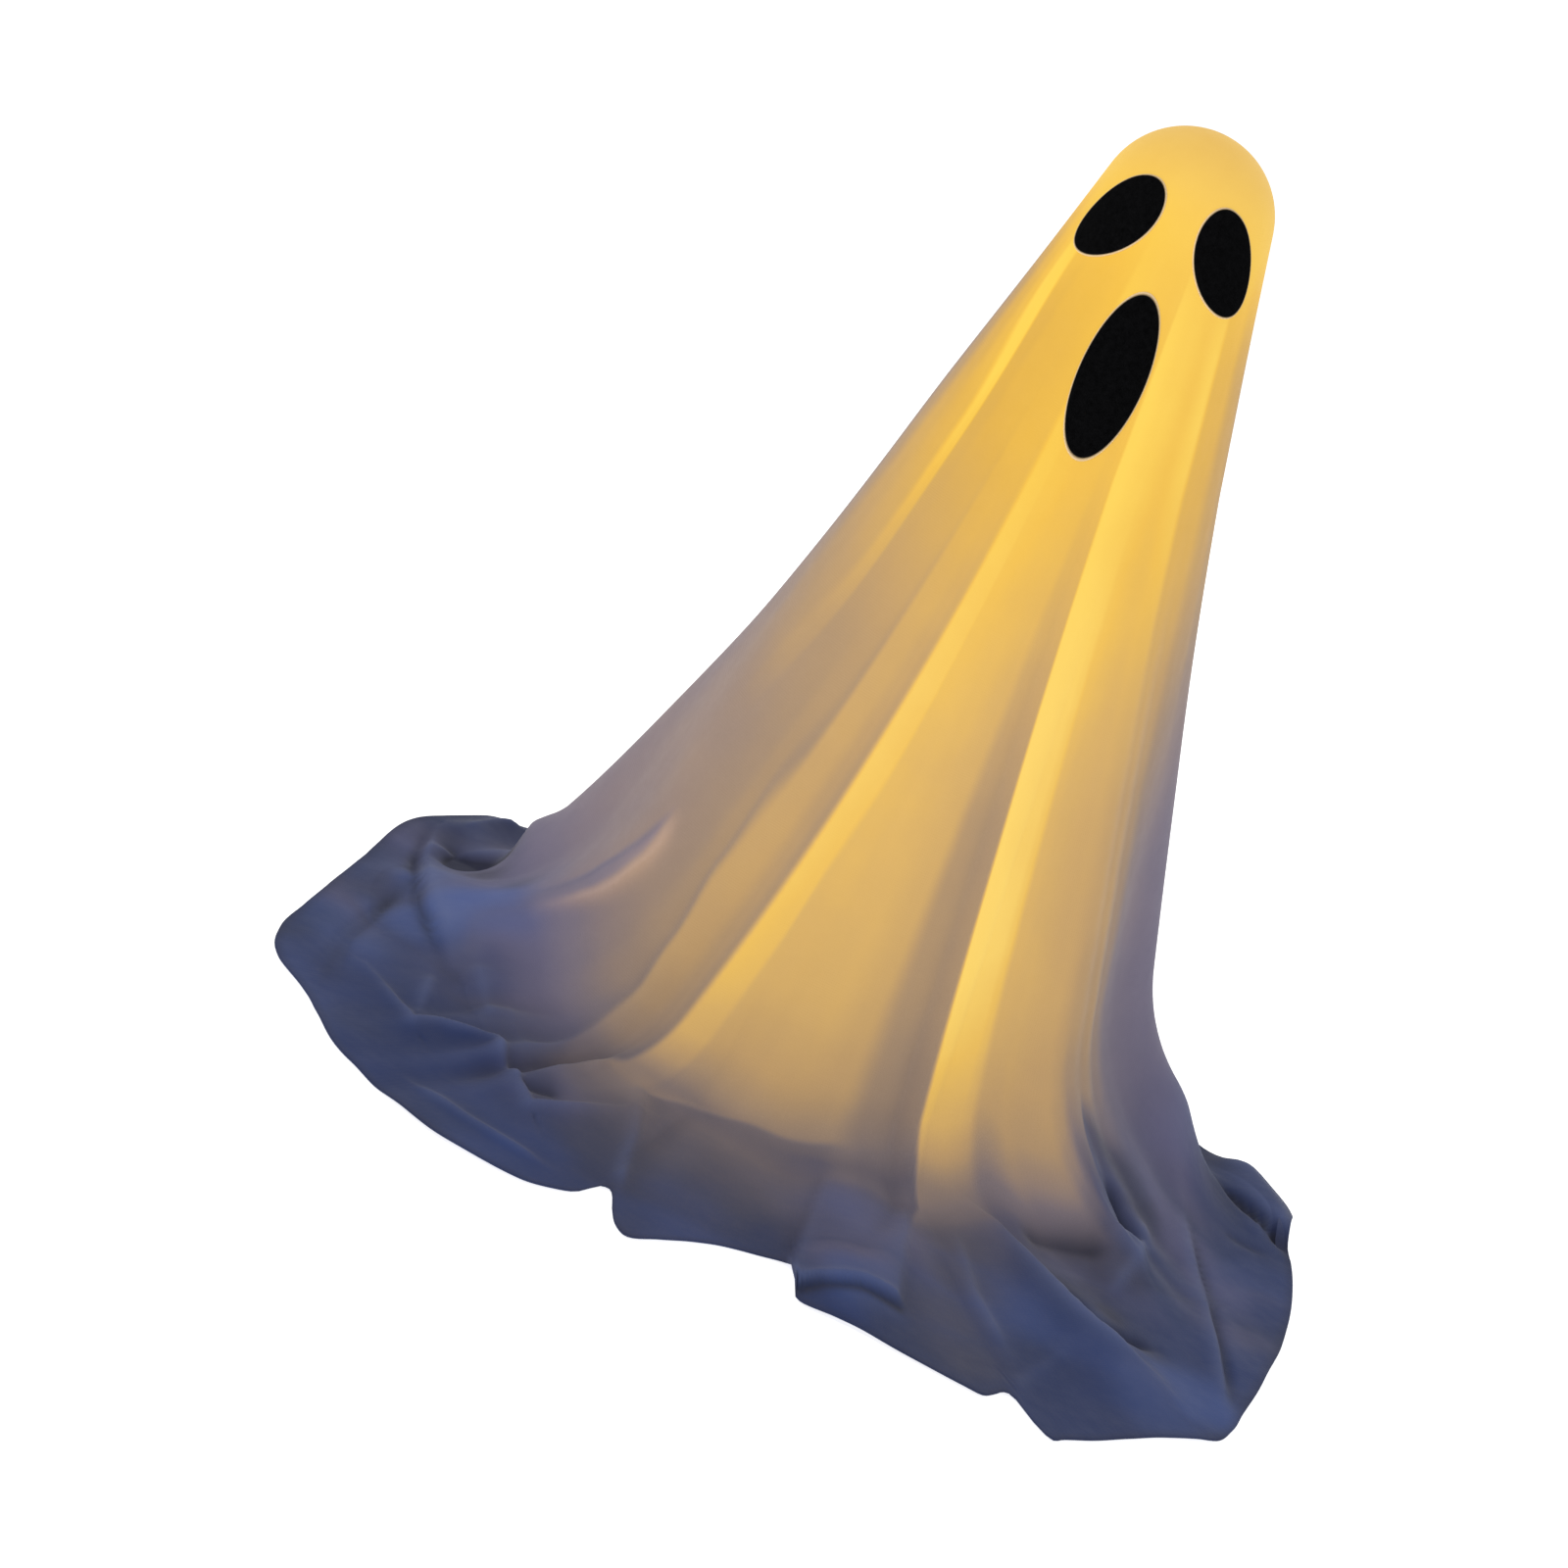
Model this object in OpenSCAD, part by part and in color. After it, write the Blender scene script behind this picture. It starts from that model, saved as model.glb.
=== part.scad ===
// Standing ghost decoration.
// A sheet with a felt face hangs over a hollow head ball on a pole. The pole stands on three
// folding legs, and a string of lights wound on it, fed by a battery case, lights the sheet
// from inside. Millimetres, +Z up, face towards -Y, origin on the floor under the pole.

/* [Pole] */
// Outer diameter of the pole tubes
pole_d = 16; // [12:0.5:20]
// Wall of the pole tubes
pole_wall = 1.2; // [0.8:0.1:2]
// Height of the joint between the lower and the upper tube
pole_joint_z = 540; // [420:5:650]
// Length of the upper tube's spigot inside the lower tube
spigot_len = 60; // [30:5:100]

/* [Hub and legs] */
// Radius of the hub's boss
hub_r = 30; // [24:1:34]
// Height of the hub's boss
hub_h = 48; // [36:1:60]
// Solid floor of the hub under the pole
hub_floor = 7; // [5:0.5:10]
// Height of the leg hinges above the floor
hinge_z = 48; // [40:1:60]
// Distance of the leg hinges from the pole's axis
hinge_r = 54; // [50:1:64]
// Diameter of the hinge pins
pin_d = 6; // [4:0.5:7]
// Thickness of each cheek beside a leg
cheek_t = 5; // [3:0.5:7]
// Radius of the cheeks round the hinge
cheek_r = 12; // [10:0.5:14]
// Outer diameter of the leg tubes
leg_d = 14; // [12:0.5:18]
// Wall of the leg tubes
leg_wall = 1.2; // [0.8:0.1:2]
// Thickness of the flat blade at a leg's hinged end
blade_t = 8; // [6:0.5:10]
// Radius of the circle that the feet stand on
foot_circle_r = 250; // [220:5:265]
// Radius of a rubber foot
foot_r = 13; // [12:0.5:16]
// Height of a rubber foot
foot_h = 20; // [18:0.5:26]
// Height of the leg's axis where it ends in the foot
foot_axis_z = 12; // [11:0.5:14]

/* [Head] */
// Height of the head ball's centre
head_z = 984; // [900:1:1100]
// Outer radius of the head ball
head_r = 90; // [80:1:100]
// Wall of the head ball
head_wall = 1.8; // [1.2:0.1:2.6]
// Radius of the flat rim at the bottom of the ball
rim_r = 38; // [34:0.5:46]
// Radius of the flange under the rim
flange_r = 41; // [38:0.5:50]
// Thickness of the flange
flange_t = 3; // [2:0.5:5]
// Outer radius of the sleeve on the pole's top
sleeve_r = 11; // [10.5:0.1:13]
// Depth of the sleeve's socket
sleeve_depth = 32; // [20:1:45]
// Height of the lamp post above the flange
post_h = 128; // [90:1:140]

/* [Lights] */
// Diameter of the light string's wire
wire_d = 2.2; // [1.6:0.1:2.6]
// Turns of the wire round the pole
wire_turns = 15; // [8:1:20]
// Radius of a bulb
bulb_r = 3; // [2:0.1:3.5]
// Bulbs in each turn
bulbs_per_turn = 3; // [2:1:4]
// Height of a cable tie
tie_h = 4; // [2:0.5:6]

/* [Battery case] */
// Height of the case's underside
case_z = 118; // [90:1:160]
// Wall of the case
case_wall = 3; // [2.4:0.1:4]
// Diameter of a cell
cell_d = 14.2; // [10.2:0.1:14.5]
// Length of a cell with its nub
cell_len = 50; // [44:0.5:51]
// Clear height of the switch bay
switch_bay_h = 20; // [16:1:26]
// Thickness of the sliding door
door_t = 2; // [1.5:0.1:3]
// Travel of the switch
switch_travel = 4; // [2:0.5:5]

/* [Sheet] */
// Thickness of the cloth
sheet_t = 1; // [0.8:0.1:2]
// Lean of the sheet's side from the vertical, in degrees
side_angle = 13.2; // [9:0.1:15]
// Distance of the hem from the pole where its share is 1
hem_reach = 500; // [440:5:640]
// Share of the way from the side's foot to the hem that the sweep takes, front and back
sweep_front = 0.2; // [0.1:0.01:0.4]
// Share of the way from the side's foot to the hem that the sweep takes, left and right
sweep_side = 0.92; // [0.5:0.01:0.95]
// Height of the main folds where the sheet meets the floor
fold_h = 46; // [20:1:60]
// Height of the cloth's highest heap on the floor
heap_h = 30; // [10:1:40]

/* [Face] */
// Thickness of the felt
felt_t = 1.2; // [0.8:0.1:3]
// Width of an eye
eye_w = 72; // [50:1:80]
// Length of an eye
eye_len = 113; // [80:1:120]
// Lean of an eye's top towards the nose, in degrees
eye_lean = 29; // [0:1:40]
// Angle of an eye from the middle of the face, in degrees
eye_angle = 36; // [32:0.5:42]
// Distance of the eyes from the crown, along the sheet
eye_down = 161; // [140:1:175]
// Width of the mouth
mouth_w = 70; // [50:1:80]
// Length of the mouth
mouth_len = 182; // [120:1:190]
// Distance of the mouth from the crown, along the sheet
mouth_down = 307; // [290:1:330]

/* [Hidden] */
$fn = 64;
eps = 0.01;

// Clearances shared by the pieces that fit together
fit = 0.1;          // push fits: pole in hub, spigot in tube, foot on leg
run = 0.05;         // hinge pins in their bores
side_gap = 0.5;     // each side of a leg's blade, door edges
seat_gap = 0.3;     // soft or loose pieces on their seats

// Pole
pole_r = pole_d / 2;
pole_in_r = pole_r - pole_wall;
hub_z = hinge_z - hub_h / 2 - 2;
socket_z = hub_z + hub_floor;
pad_r = hub_r - 6;
pad_stud_r = 5;
pad_stud_h = hub_floor - 3;
rim_drop = sqrt(pow(head_r, 2) - pow(rim_r, 2));
flange_z = head_z - rim_drop;
pole_top = flange_z - flange_t;

// Legs, each in a frame whose X axis runs from its hinge to its foot
leg_angles = [270, 30, 150];
leg_drop = hinge_z - foot_axis_z;
leg_run = foot_circle_r - hinge_r;
leg_tilt = atan(leg_drop / leg_run);
leg_len = norm([leg_drop, leg_run]);
blade_r = leg_d / 2 - 0.2;
tube_start = cheek_r + 1.5;
blade_len = tube_start + 8;
foot_grip = 36;
foot_sleeve_r = leg_d / 2 + 2.5;
stop_t = 3;
pin_head_r = pin_d / 2 + 2;
pin_head_t = 1.6;
slot_w = blade_t + 2 * side_gap;

// Battery case, behind the pole with its door facing +Y
cell_gap = 0.5;
cell_nub_h = 1.2;
cell_nub_r = 2.7;
contact_t = 0.4;
clip_wall = 3;
clip_t = 3;
clip_h = 18;
clip_plate_w = 36;
clip_mouth = 10;
case_y = pole_r + run + clip_wall + clip_t;
bay_w = 3 * cell_d + 4 * cell_gap;
bay_d = cell_d + 2 * cell_gap;
bay_h = cell_len + 2 * contact_t + 4 * fit;
case_w = bay_w + 2 * case_wall;
door_y = case_y + case_wall + bay_d;
groove_t = door_t + 2 * fit;
lip_t = 1.4;
lip_w = 2.5;
case_d = door_y + groove_t + lip_t - case_y;
bay_z = case_z + case_wall + switch_bay_h + case_wall;
case_top = bay_z + bay_h + case_wall;
door_w = bay_w + 2 * (case_wall / 2 - fit);
door_h = case_top - bay_z;
grip_rib = 1;
clip_z = (case_z + case_top) / 2;
screw_r = 1.5;
screw_head_r = 3;
screw_head_t = 1.6;
screw_x = clip_plate_w / 2 - screw_head_r - 1;
knob_w = 6;
knob_h = 5;
knob_out = 2.5;
slider_flange = 1.5;
slider_t = 2;
switch_z = case_z + case_wall + (switch_bay_h - switch_travel - knob_h) / 2;
board_t = 1.6;
board_margin = 2;

// Light string: a lead from the case's top, then a winding up the pole and the lamp post
wire_r = wire_d / 2;
wind_r = pole_r + wire_r + seat_gap;
wind_sleeve_r = sleeve_r + wire_r + seat_gap;
lead_y = case_y + case_wall + bay_d / 2;
lead_h = 45;
wind_z = case_top + lead_h;
wind_top = flange_z + post_h - 12;
wind_pitch = (wind_top - wind_z) / wire_turns;
ramp_h = 28;
lead_steps = 10;
turn_steps = 24;
wire_start = 90;
wire_sides = 6;
sleeve_low = pole_top - sleeve_depth;
slot_spare = 30;
slot_turn = 360 * (flange_t + 4 * wire_d) / wind_pitch + slot_spare;

// Sheet: inner surface of revolution, on which the folds stand; its columns stand closer in front
sectors = 44;
front_pull = 28;
function sheet_angle(j) = let (t = 360 * j / sectors) t - front_pull * sin(t);
dome_rings = [0.25, 0.5, 0.75, 1];
cone_rings = [0, 0.5, 1];
foot_rings = 7;
column_gap = sheet_angle(sectors / 2) - sheet_angle(sectors / 2 - 1);
ring_gap = (90 - side_angle) / len(dome_rings);
dome_r = (head_r + seat_gap) / cos(column_gap / 2) / cos(ring_gap / 2);
dome_start = [dome_r * cos(side_angle), head_z + dome_r * sin(side_angle)];
dome_len = dome_r * (90 - side_angle) * PI / 180;
floor_r = dome_start[0] + dome_start[1] * tan(side_angle);
sweep_turn = 90 - side_angle;

// Crests and valleys of the folds at the floor: angle from the middle of the face, share of fold_h
FOLDS = [
  [-180, 0.9], [-158, 0.08], [-137, 0.8], [-117, 0.1], [-97, 1.2], [-78, 0.3], [-60, 0.5], [-47, 0.22],
  [-40, 0.36], [-34, 0.02], [-27, 0.6], [-10, 0.22], [8, 0.06], [23.5, 0.16], [28, 0.86], [40, 0.3],
  [47, 0.27], [62, 0.92], [81, 0.1], [100, 1.3], [120, 0.08], [140, 0.9], [160, 0.08], [180, 0.9]
];
// Turn of a fold's top against its foot: angle from the middle of the face, degrees
TOP_TURN = [
  [-180, 0], [-95, 0], [-60, 7], [-40, 13], [-27, 16.6], [-8, 16.6], [8, 2], [16, -10], [28, -10],
  [48, -13], [67, -13], [90, 0], [180, 0]
];
// Turn of a fold's foot by the time it reaches the hem
FOOT_TURN = [[-180, 0], [0, 0], [14, -13], [25, -13], [56, 0], [180, 0]];
// Outline of the hem on the floor: angle from the middle of the face, share of hem_reach
HEM = [
  [-180, 1.12], [-150, 1.03], [-130, 0.996], [-110, 1.02], [-90, 1.036], [-64, 1.18], [-54, 1.29],
  [-40, 1.35], [-24, 1.4], [-17, 1.39], [-12.5, 1.22], [-8.5, 1.3], [-6, 1.36], [4, 1.17], [8.5, 1.29],
  [17, 1.37], [23, 1.45], [28, 1.58], [40, 1.45], [46, 1.47], [54, 1.37], [62, 1.27], [80, 1.185],
  [100, 1.152], [110, 1.14], [123, 1.04], [132, 1.02], [150, 1.03], [180, 1.12]
];
// Heaps of cloth on the floor: share of heap_h, then reach and both ends as shares of hem_reach
HEAPS = [
  [1, 0.1, [-0.93, -0.09], [-0.67, -0.15]], [0.5, 0.12, [-0.85, -0.32], [-0.67, -0.63]],
  [0.75, 0.11, [0.61, -0.02], [0.77, -0.44]], [0.55, 0.11, [0.54, -0.64], [0.84, -0.94]],
  [0.85, 0.07, [1.13, 0.12], [1, 0.44]], [0.85, 0.07, [-0.89, 0.3], [-0.8, 0.5]],
  [0.45, 0.1, [0.22, -0.7], [0.27, -1.18]]
];

// Smooth step from 0 to 1 as x goes from 0 to 1
function ease(x) = let (c = max(0, min(1, x))) c * c * (3 - 2 * c);
// Angle brought into -180 to 180
function wrap(a) = a - 360 * floor((a + 180) / 360);
// Linear blend
function mix(a, b, t) = a + (b - a) * t;

// Value at angle a of a list of [angle, value] keys, eased between them
function keyed(keys, a) =
  let (w = wrap(a), i = max([for (k = [0 : len(keys) - 2]) if (keys[k][0] <= w) k]))
  let (p = keys[i], q = keys[i + 1])
  mix(p[1], q[1], ease((w - p[0]) / (q[0] - p[0])));

// Distance of the hem from the pole at angle a from the middle of the face
function hem_r(a) = hem_reach * keyed(HEM, a);

// Way along the floor that the sweep takes up, and the sweep's radius
function sweep_tangent(a) = mix(sweep_front, sweep_side, pow(sin(a), 4)) * (hem_r(a) - floor_r);
function sweep_r(a) = sweep_tangent(a) / tan(sweep_turn / 2);
function cone_len(a) = dome_start[1] / cos(side_angle) - sweep_tangent(a);
function sweep_len(a) = sweep_r(a) * sweep_turn * PI / 180;
function hem_len(a) = hem_r(a) - floor_r - sweep_tangent(a);
function down_len(a) = dome_len + cone_len(a) + sweep_len(a) + hem_len(a);

// Point of the inner surface at distance s from the crown: [radius, height, normal's lift]
function run_point(a, s) =
  let (c = s - dome_len, w = c - cone_len(a), h = w - sweep_len(a))
  c <= 0 ? let (lat = 90 - s / dome_r * 180 / PI)
           [dome_r * cos(lat), head_z + dome_r * sin(lat), lat]
  : w <= 0 ? [dome_start[0] + c * sin(side_angle), dome_start[1] - c * cos(side_angle), side_angle]
  : h <= 0 ? let (lift = side_angle + w / sweep_r(a) * 180 / PI, end_r = floor_r + sweep_tangent(a))
             [end_r - sweep_r(a) * cos(lift), sweep_r(a) * (1 - sin(lift)), lift]
  : [floor_r + sweep_tangent(a) + h, 0, 90];

// Height of the folds above the inner surface: none down to the mouth's end, most where the floor begins.
// On the left they grow later, and turn later.
fold_start = mouth_down + mouth_len / 2;
fold_peak = 0.78;
fold_fade = 0.88;
fold_power = 1.25;
left_power = 0.75;
left_late = 0.9;
left_edge = 5;
function fold_share(a, s) = max(0, (s - fold_start) / (down_len(a) - fold_start));
function fold_growth(a, u) =
  pow(min(u / fold_peak, 1), fold_power + left_power * pow(max(0, -sin(a)), 4))
  * (1 - fold_fade * ease((u - fold_peak) / (1 - fold_peak)));
// Share of the way along the floor at distance s, and how far the cloth lies on the floor
foot_from = 0.8;
lies_from = 0.3;
lies_by = 0.85;
function past_cone(a, s) = s - dome_len - cone_len(a);
function foot_share(a, s) =
  max(0, (past_cone(a, s) - foot_from * sweep_len(a)) / ((1 - foot_from) * sweep_len(a) + hem_len(a)));
function lies(a, s) = ease((past_cone(a, s) / sweep_len(a) - lies_from) / (lies_by - lies_from));
// Angle on the folds' own scale, at the floor
function fold_angle(a, s) =
  let (m = min(fold_share(a, s) / fold_peak, 1))
  let (late = 1 + left_late * ease((left_edge - wrap(a)) / (2 * left_edge)))
  a - keyed(TOP_TURN, a) * (1 - pow(m, late)) - keyed(FOOT_TURN, a) * foot_share(a, s);
function fold_at(a, s) = fold_h * fold_growth(a, fold_share(a, s)) * keyed(FOLDS, fold_angle(a, s));

// Distance from p to the stretch from a to b, and the height of all heaps at a place on the floor
function to_stretch(p, a, b) =
  let (t = (p - a) * (b - a) / ((b - a) * (b - a)))
  norm(p - mix(a, b, max(0, min(1, t))));
function heaps_at(p) = heap_h * sum_of([for (h = HEAPS)
  h[0] * exp(-pow(to_stretch(p / hem_reach, h[2], h[3]) / h[1], 2))]);
function sum_of(v, i = 0) = i < len(v) ? v[i] + sum_of(v, i + 1) : 0;

// Point on the sheet at angle a and distance s, raised by lift over its inner surface
function sheet_point(a, s, lift) =
  let (p = run_point(a, s), out = lift + fold_at(a, s), r = p[0] + out * cos(p[2]))
  let (place = [r * sin(a), -r * cos(a)])
  [place[0], place[1], p[1] + out * sin(p[2]) + heaps_at(place) * lies(a, s)];

// Distances from the crown of the sheet's rings at angle a
function ring_stops(a) = concat(
  [for (t = dome_rings) dome_len * t],
  [for (t = cone_rings) mix(fold_start, dome_len + cone_len(a), t)],
  [for (i = [1 : foot_rings]) dome_len + cone_len(a) + (sweep_len(a) + hem_len(a)) * i / foot_rings]);

// Course of the light wire: z, angle and radius for step i
wire_steps = lead_steps + turn_steps * wire_turns;
function wire_z(i) = i <= lead_steps
  ? mix(case_top, wind_z, i / lead_steps)
  : wind_z + wind_pitch * (i - lead_steps) / turn_steps;
function wire_angle(i) = wire_start + 360 * max(0, i - lead_steps) / turn_steps;
function wire_out(z) = mix(wind_r, wind_sleeve_r,
  ease((z - sleeve_low + ramp_h + wire_d) / ramp_h) - ease((z - flange_z - 2 * wire_d) / ramp_h));
function wire_radius(i) = i <= lead_steps
  ? mix(lead_y, wind_r, ease((i - 1) / (lead_steps - 1)))
  : wire_out(wire_z(i));
function polar(r, a, z) = [r * cos(a), r * sin(a), z];
function wire_point(i) = polar(wire_radius(i), wire_angle(i), wire_z(i));
function unit(v) = v / norm(v);
function wire_ring(i) =
  let (t = i == 0 ? [0, 0, 1] : unit(wire_point(i + 1) - wire_point(i - 1)))
  let (n = unit(cross(t, cross([cos(wire_angle(i)), sin(wire_angle(i)), 0], t))), b = cross(t, n))
  [for (k = [0 : wire_sides - 1]) let (q = 360 * k / wire_sides)
    wire_point(i) + wire_r * (n * cos(q) + b * sin(q))];

// Frame of the leg at angle a: its hinge, and along the leg from it
module at_hinge(a) { rotate([0, 0, a]) translate([hinge_r, 0, hinge_z]) children(); }
module along_leg(a) { at_hinge(a) rotate([0, leg_tilt, 0]) children(); }
// Cylinder along X or Y from the origin
module rod_x(r, h) { rotate([0, 90, 0]) cylinder(r = r, h = h); }
module rod_y(r, h) { rotate([-90, 0, 0]) cylinder(r = r, h = h); }
// Cylinder along Y, centred on the origin
module pin_y(r, h) { rotate([90, 0, 0]) cylinder(r = r, h = h, center = true); }
// Box from its low corner, centred in X
module box_x(w, y0, y1, z0, z1) { translate([-w / 2, y0, z0]) cube([w, y1 - y0, z1 - z0]); }
// Ring round the pole
module ring(r_out, r_in, z0, h) {
  translate([0, 0, z0]) difference() {
    cylinder(r = r_out, h = h);
    translate([0, 0, -eps]) cylinder(r = r_in, h = h + 2 * eps);
  }
}
// Closed solid between two grids of points, the first row of each shrinking to one point
module cap_solid(upper, lower) {
  rows = len(upper);
  cols = len(upper[0]);
  side = 1 + (rows - 1) * cols;
  function at(layer, i, j) = layer * side + (i == 0 ? 0 : 1 + (i - 1) * cols + j % cols);
  points = [for (g = [upper, lower]) for (i = [0 : rows - 1])
    for (j = [0 : i == 0 ? 0 : cols - 1]) g[i][j]];
  tips = [for (j = [0 : cols - 1]) each [[at(0, 0, 0), at(0, 1, j + 1), at(0, 1, j)],
    [at(1, 0, 0), at(1, 1, j), at(1, 1, j + 1)]]];
  skins = [for (i = [1 : rows - 2]) for (j = [0 : cols - 1]) each [
    [at(0, i, j), at(0, i, j + 1), at(0, i + 1, j + 1)],
    [at(0, i, j), at(0, i + 1, j + 1), at(0, i + 1, j)],
    [at(1, i, j), at(1, i + 1, j + 1), at(1, i, j + 1)],
    [at(1, i, j), at(1, i + 1, j), at(1, i + 1, j + 1)]]];
  edge = [for (j = [0 : cols - 1]) each [
    [at(0, rows - 1, j), at(0, rows - 1, j + 1), at(1, rows - 1, j + 1)],
    [at(0, rows - 1, j), at(1, rows - 1, j + 1), at(1, rows - 1, j)]]];
  polyhedron(points, concat(tips, skins, edge));
}

// Hub: boss with the pole's socket, three pairs of cheeks and a stop under each leg
module base_hub() {
  color("#3a3d42") difference() {
    union() {
      translate([0, 0, hub_z]) cylinder(r = hub_r, h = hub_h);
      for (a = leg_angles) {
        at_hinge(a) for (s = [-1, 1]) translate([0, s * (slot_w + cheek_t) / 2, 0]) {
          pin_y(cheek_r, cheek_t);
          translate([-hinge_r + pole_r, -cheek_t / 2, -cheek_r])
            cube([hinge_r - pole_r, cheek_t, 2 * cheek_r]);
        }
        along_leg(a) translate([3, -slot_w / 2 - eps, -blade_r - seat_gap - stop_t])
          cube([cheek_r - 4, slot_w + 2 * eps, stop_t]);
      }
    }
    translate([0, 0, socket_z]) cylinder(r = pole_r + fit, h = hub_h);
    translate([0, 0, hub_z - 1]) cylinder(r = pad_stud_r + fit, h = pad_stud_h + 1 + fit);
    for (a = leg_angles) at_hinge(a) pin_y(pin_d / 2 + run, slot_w + 2 * cheek_t + 1);
  }
}

// Rubber pad under the hub, on the floor, with a stud in the hub's underside
module hub_pad() {
  color("#26282b") union() {
    cylinder(r = pad_r, h = hub_z);
    translate([0, 0, hub_z - eps]) cylinder(r = pad_stud_r, h = pad_stud_h);
  }
}

// Hinge pins: a shank and two flat heads each
module leg_pins() {
  reach = slot_w + 2 * cheek_t + 2 * fit;
  color("silver") for (a = leg_angles) at_hinge(a) {
    pin_y(pin_d / 2, reach + 2 * eps);
    for (s = [-1, 1]) translate([0, s * (reach + pin_head_t) / 2, 0]) pin_y(pin_head_r, pin_head_t);
  }
}

// Leg: a tube with a flat blade at its hinged end
module leg(a) {
  color("#5a5e64") along_leg(a) difference() {
    union() {
      pin_y(blade_r, blade_t);
      translate([0, -blade_t / 2, -blade_r]) cube([blade_len, blade_t, 2 * blade_r]);
      translate([tube_start, 0, 0]) rod_x(leg_d / 2, leg_len - tube_start);
    }
    pin_y(pin_d / 2 + run, blade_t + 1);
    translate([blade_len, 0, 0]) rod_x(leg_d / 2 - leg_wall, leg_len);
  }
}
module leg_front() { leg(leg_angles[0]); }
module leg_rear_right() { leg(leg_angles[1]); }
module leg_rear_left() { leg(leg_angles[2]); }

// Rubber foot: a pad on the floor with a sleeve over the leg's end
module foot(a) {
  color("#26282b") difference() {
    union() {
      rotate([0, 0, a]) translate([foot_circle_r, 0, 0]) cylinder(r = foot_r, h = foot_h);
      along_leg(a) translate([leg_len - foot_grip, 0, 0]) rod_x(foot_sleeve_r, foot_grip);
    }
    along_leg(a) translate([leg_len - foot_grip - 1, 0, 0]) rod_x(leg_d / 2 + fit, foot_grip + 1 + fit);
  }
}
module foot_front() { foot(leg_angles[0]); }
module foot_rear_right() { foot(leg_angles[1]); }
module foot_rear_left() { foot(leg_angles[2]); }

// Pole tubes: the upper one plugs into the lower one by a necked spigot
module lower_pole() {
  color("#d5d7da") ring(pole_r, pole_in_r, socket_z, pole_joint_z - socket_z);
}
module upper_pole() {
  spigot_r = pole_in_r - fit;
  color("#d5d7da") difference() {
    union() {
      translate([0, 0, pole_joint_z]) cylinder(r = pole_r, h = pole_top - pole_joint_z);
      translate([0, 0, pole_joint_z - spigot_len]) cylinder(r = spigot_r, h = spigot_len + eps);
    }
    translate([0, 0, pole_joint_z - spigot_len - 1]) cylinder(r = spigot_r - pole_wall, h = pole_top);
  }
}

// Head socket: sleeve on the pole, flange under the ball, lamp post inside it, slot for the wire
module head_socket() {
  rim_in_r = sqrt(pow(head_r - head_wall, 2) - pow(rim_drop, 2));
  slot_mid = wire_angle(lead_steps + turn_steps * (flange_z - flange_t / 2 - wind_z) / wind_pitch);
  color("#f1eee2") difference() {
    union() {
      translate([0, 0, sleeve_low]) cylinder(r = sleeve_r, h = sleeve_depth + flange_t);
      translate([0, 0, pole_top]) cylinder(r = flange_r, h = flange_t);
      ring(rim_in_r - seat_gap, rim_in_r - seat_gap - 2, flange_z - eps, 7);
      translate([0, 0, flange_z - eps]) cylinder(r = pole_r, h = post_h);
    }
    translate([0, 0, sleeve_low - eps]) cylinder(r = pole_r + fit, h = sleeve_depth + eps);
    rotate([0, 0, slot_mid - slot_turn / 2]) translate([0, 0, pole_top - 1])
      rotate_extrude(angle = slot_turn) translate([sleeve_r - 0.4, 0])
        square([2 * wire_d + 2 * seat_gap, flange_t + 2]);
  }
}

// Head ball: two half shells, the lower one with a flat rim and a ring that enters the upper one
module half_ball(z0, z1) {
  intersection() {
    difference() {
      translate([0, 0, head_z]) sphere(r = head_r);
      translate([0, 0, head_z]) sphere(r = head_r - head_wall);
    }
    translate([0, 0, z0]) cylinder(r = head_r + 1, h = z1 - z0);
  }
}
module head_lower_shell() {
  lap_up = 6;
  lap_down = 18;
  lap_r = sqrt(pow(head_r - head_wall, 2) - pow(lap_up, 2)) - fit;
  color("#f4efdc") union() {
    half_ball(flange_z, head_z);
    ring(lap_r, lap_r - head_wall, head_z - lap_down, lap_up + lap_down);
  }
}
module head_upper_shell() { color("#f4efdc") half_ball(head_z, head_z + head_r + 1); }

// Light wire: one tube from the case's top to the top of the lamp post
module light_wire() {
  rings = [for (i = [0 : wire_steps]) wire_ring(i)];
  n = wire_sides;
  walls = [for (i = [0 : wire_steps - 1]) for (k = [0 : n - 1]) let (a = i * n + k, b = i * n + (k + 1) % n)
    each [[a, a + n, b + n], [a, b + n, b]]];
  low = [for (k = [1 : n - 2]) [0, k, k + 1]];
  high = [for (k = [1 : n - 2]) let (o = wire_steps * n) [o, o + k + 1, o + k]];
  line = [for (i = [0 : wire_steps]) wire_point(i)];
  gaps = [for (i = [0 : 2 : wire_steps])
    for (j = [i + turn_steps / 2 : 2 : wire_steps]) norm(line[i] - line[j])];
  echo(str("light wire: least gap to itself ", min(gaps) - wire_d, " mm"));
  color("#b98a4a") polyhedron([for (r = rings) each r], concat(walls, low, high));
}

// Bulbs: clear drops moulded round the wire, on its outer side
module light_bulbs() {
  step = turn_steps / bulbs_per_turn;
  in_flange = function(z) z > pole_top - 2 * bulb_r && z < flange_z + 2 * bulb_r;
  color("#ffd36b") for (i = [lead_steps + step : step : wire_steps - 1])
    if (!in_flange(wire_z(i)))
      translate(polar(wire_radius(i) + wire_r + bulb_r - 2 * seat_gap, wire_angle(i), wire_z(i)))
        sphere(r = bulb_r, $fn = 32);
}

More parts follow.
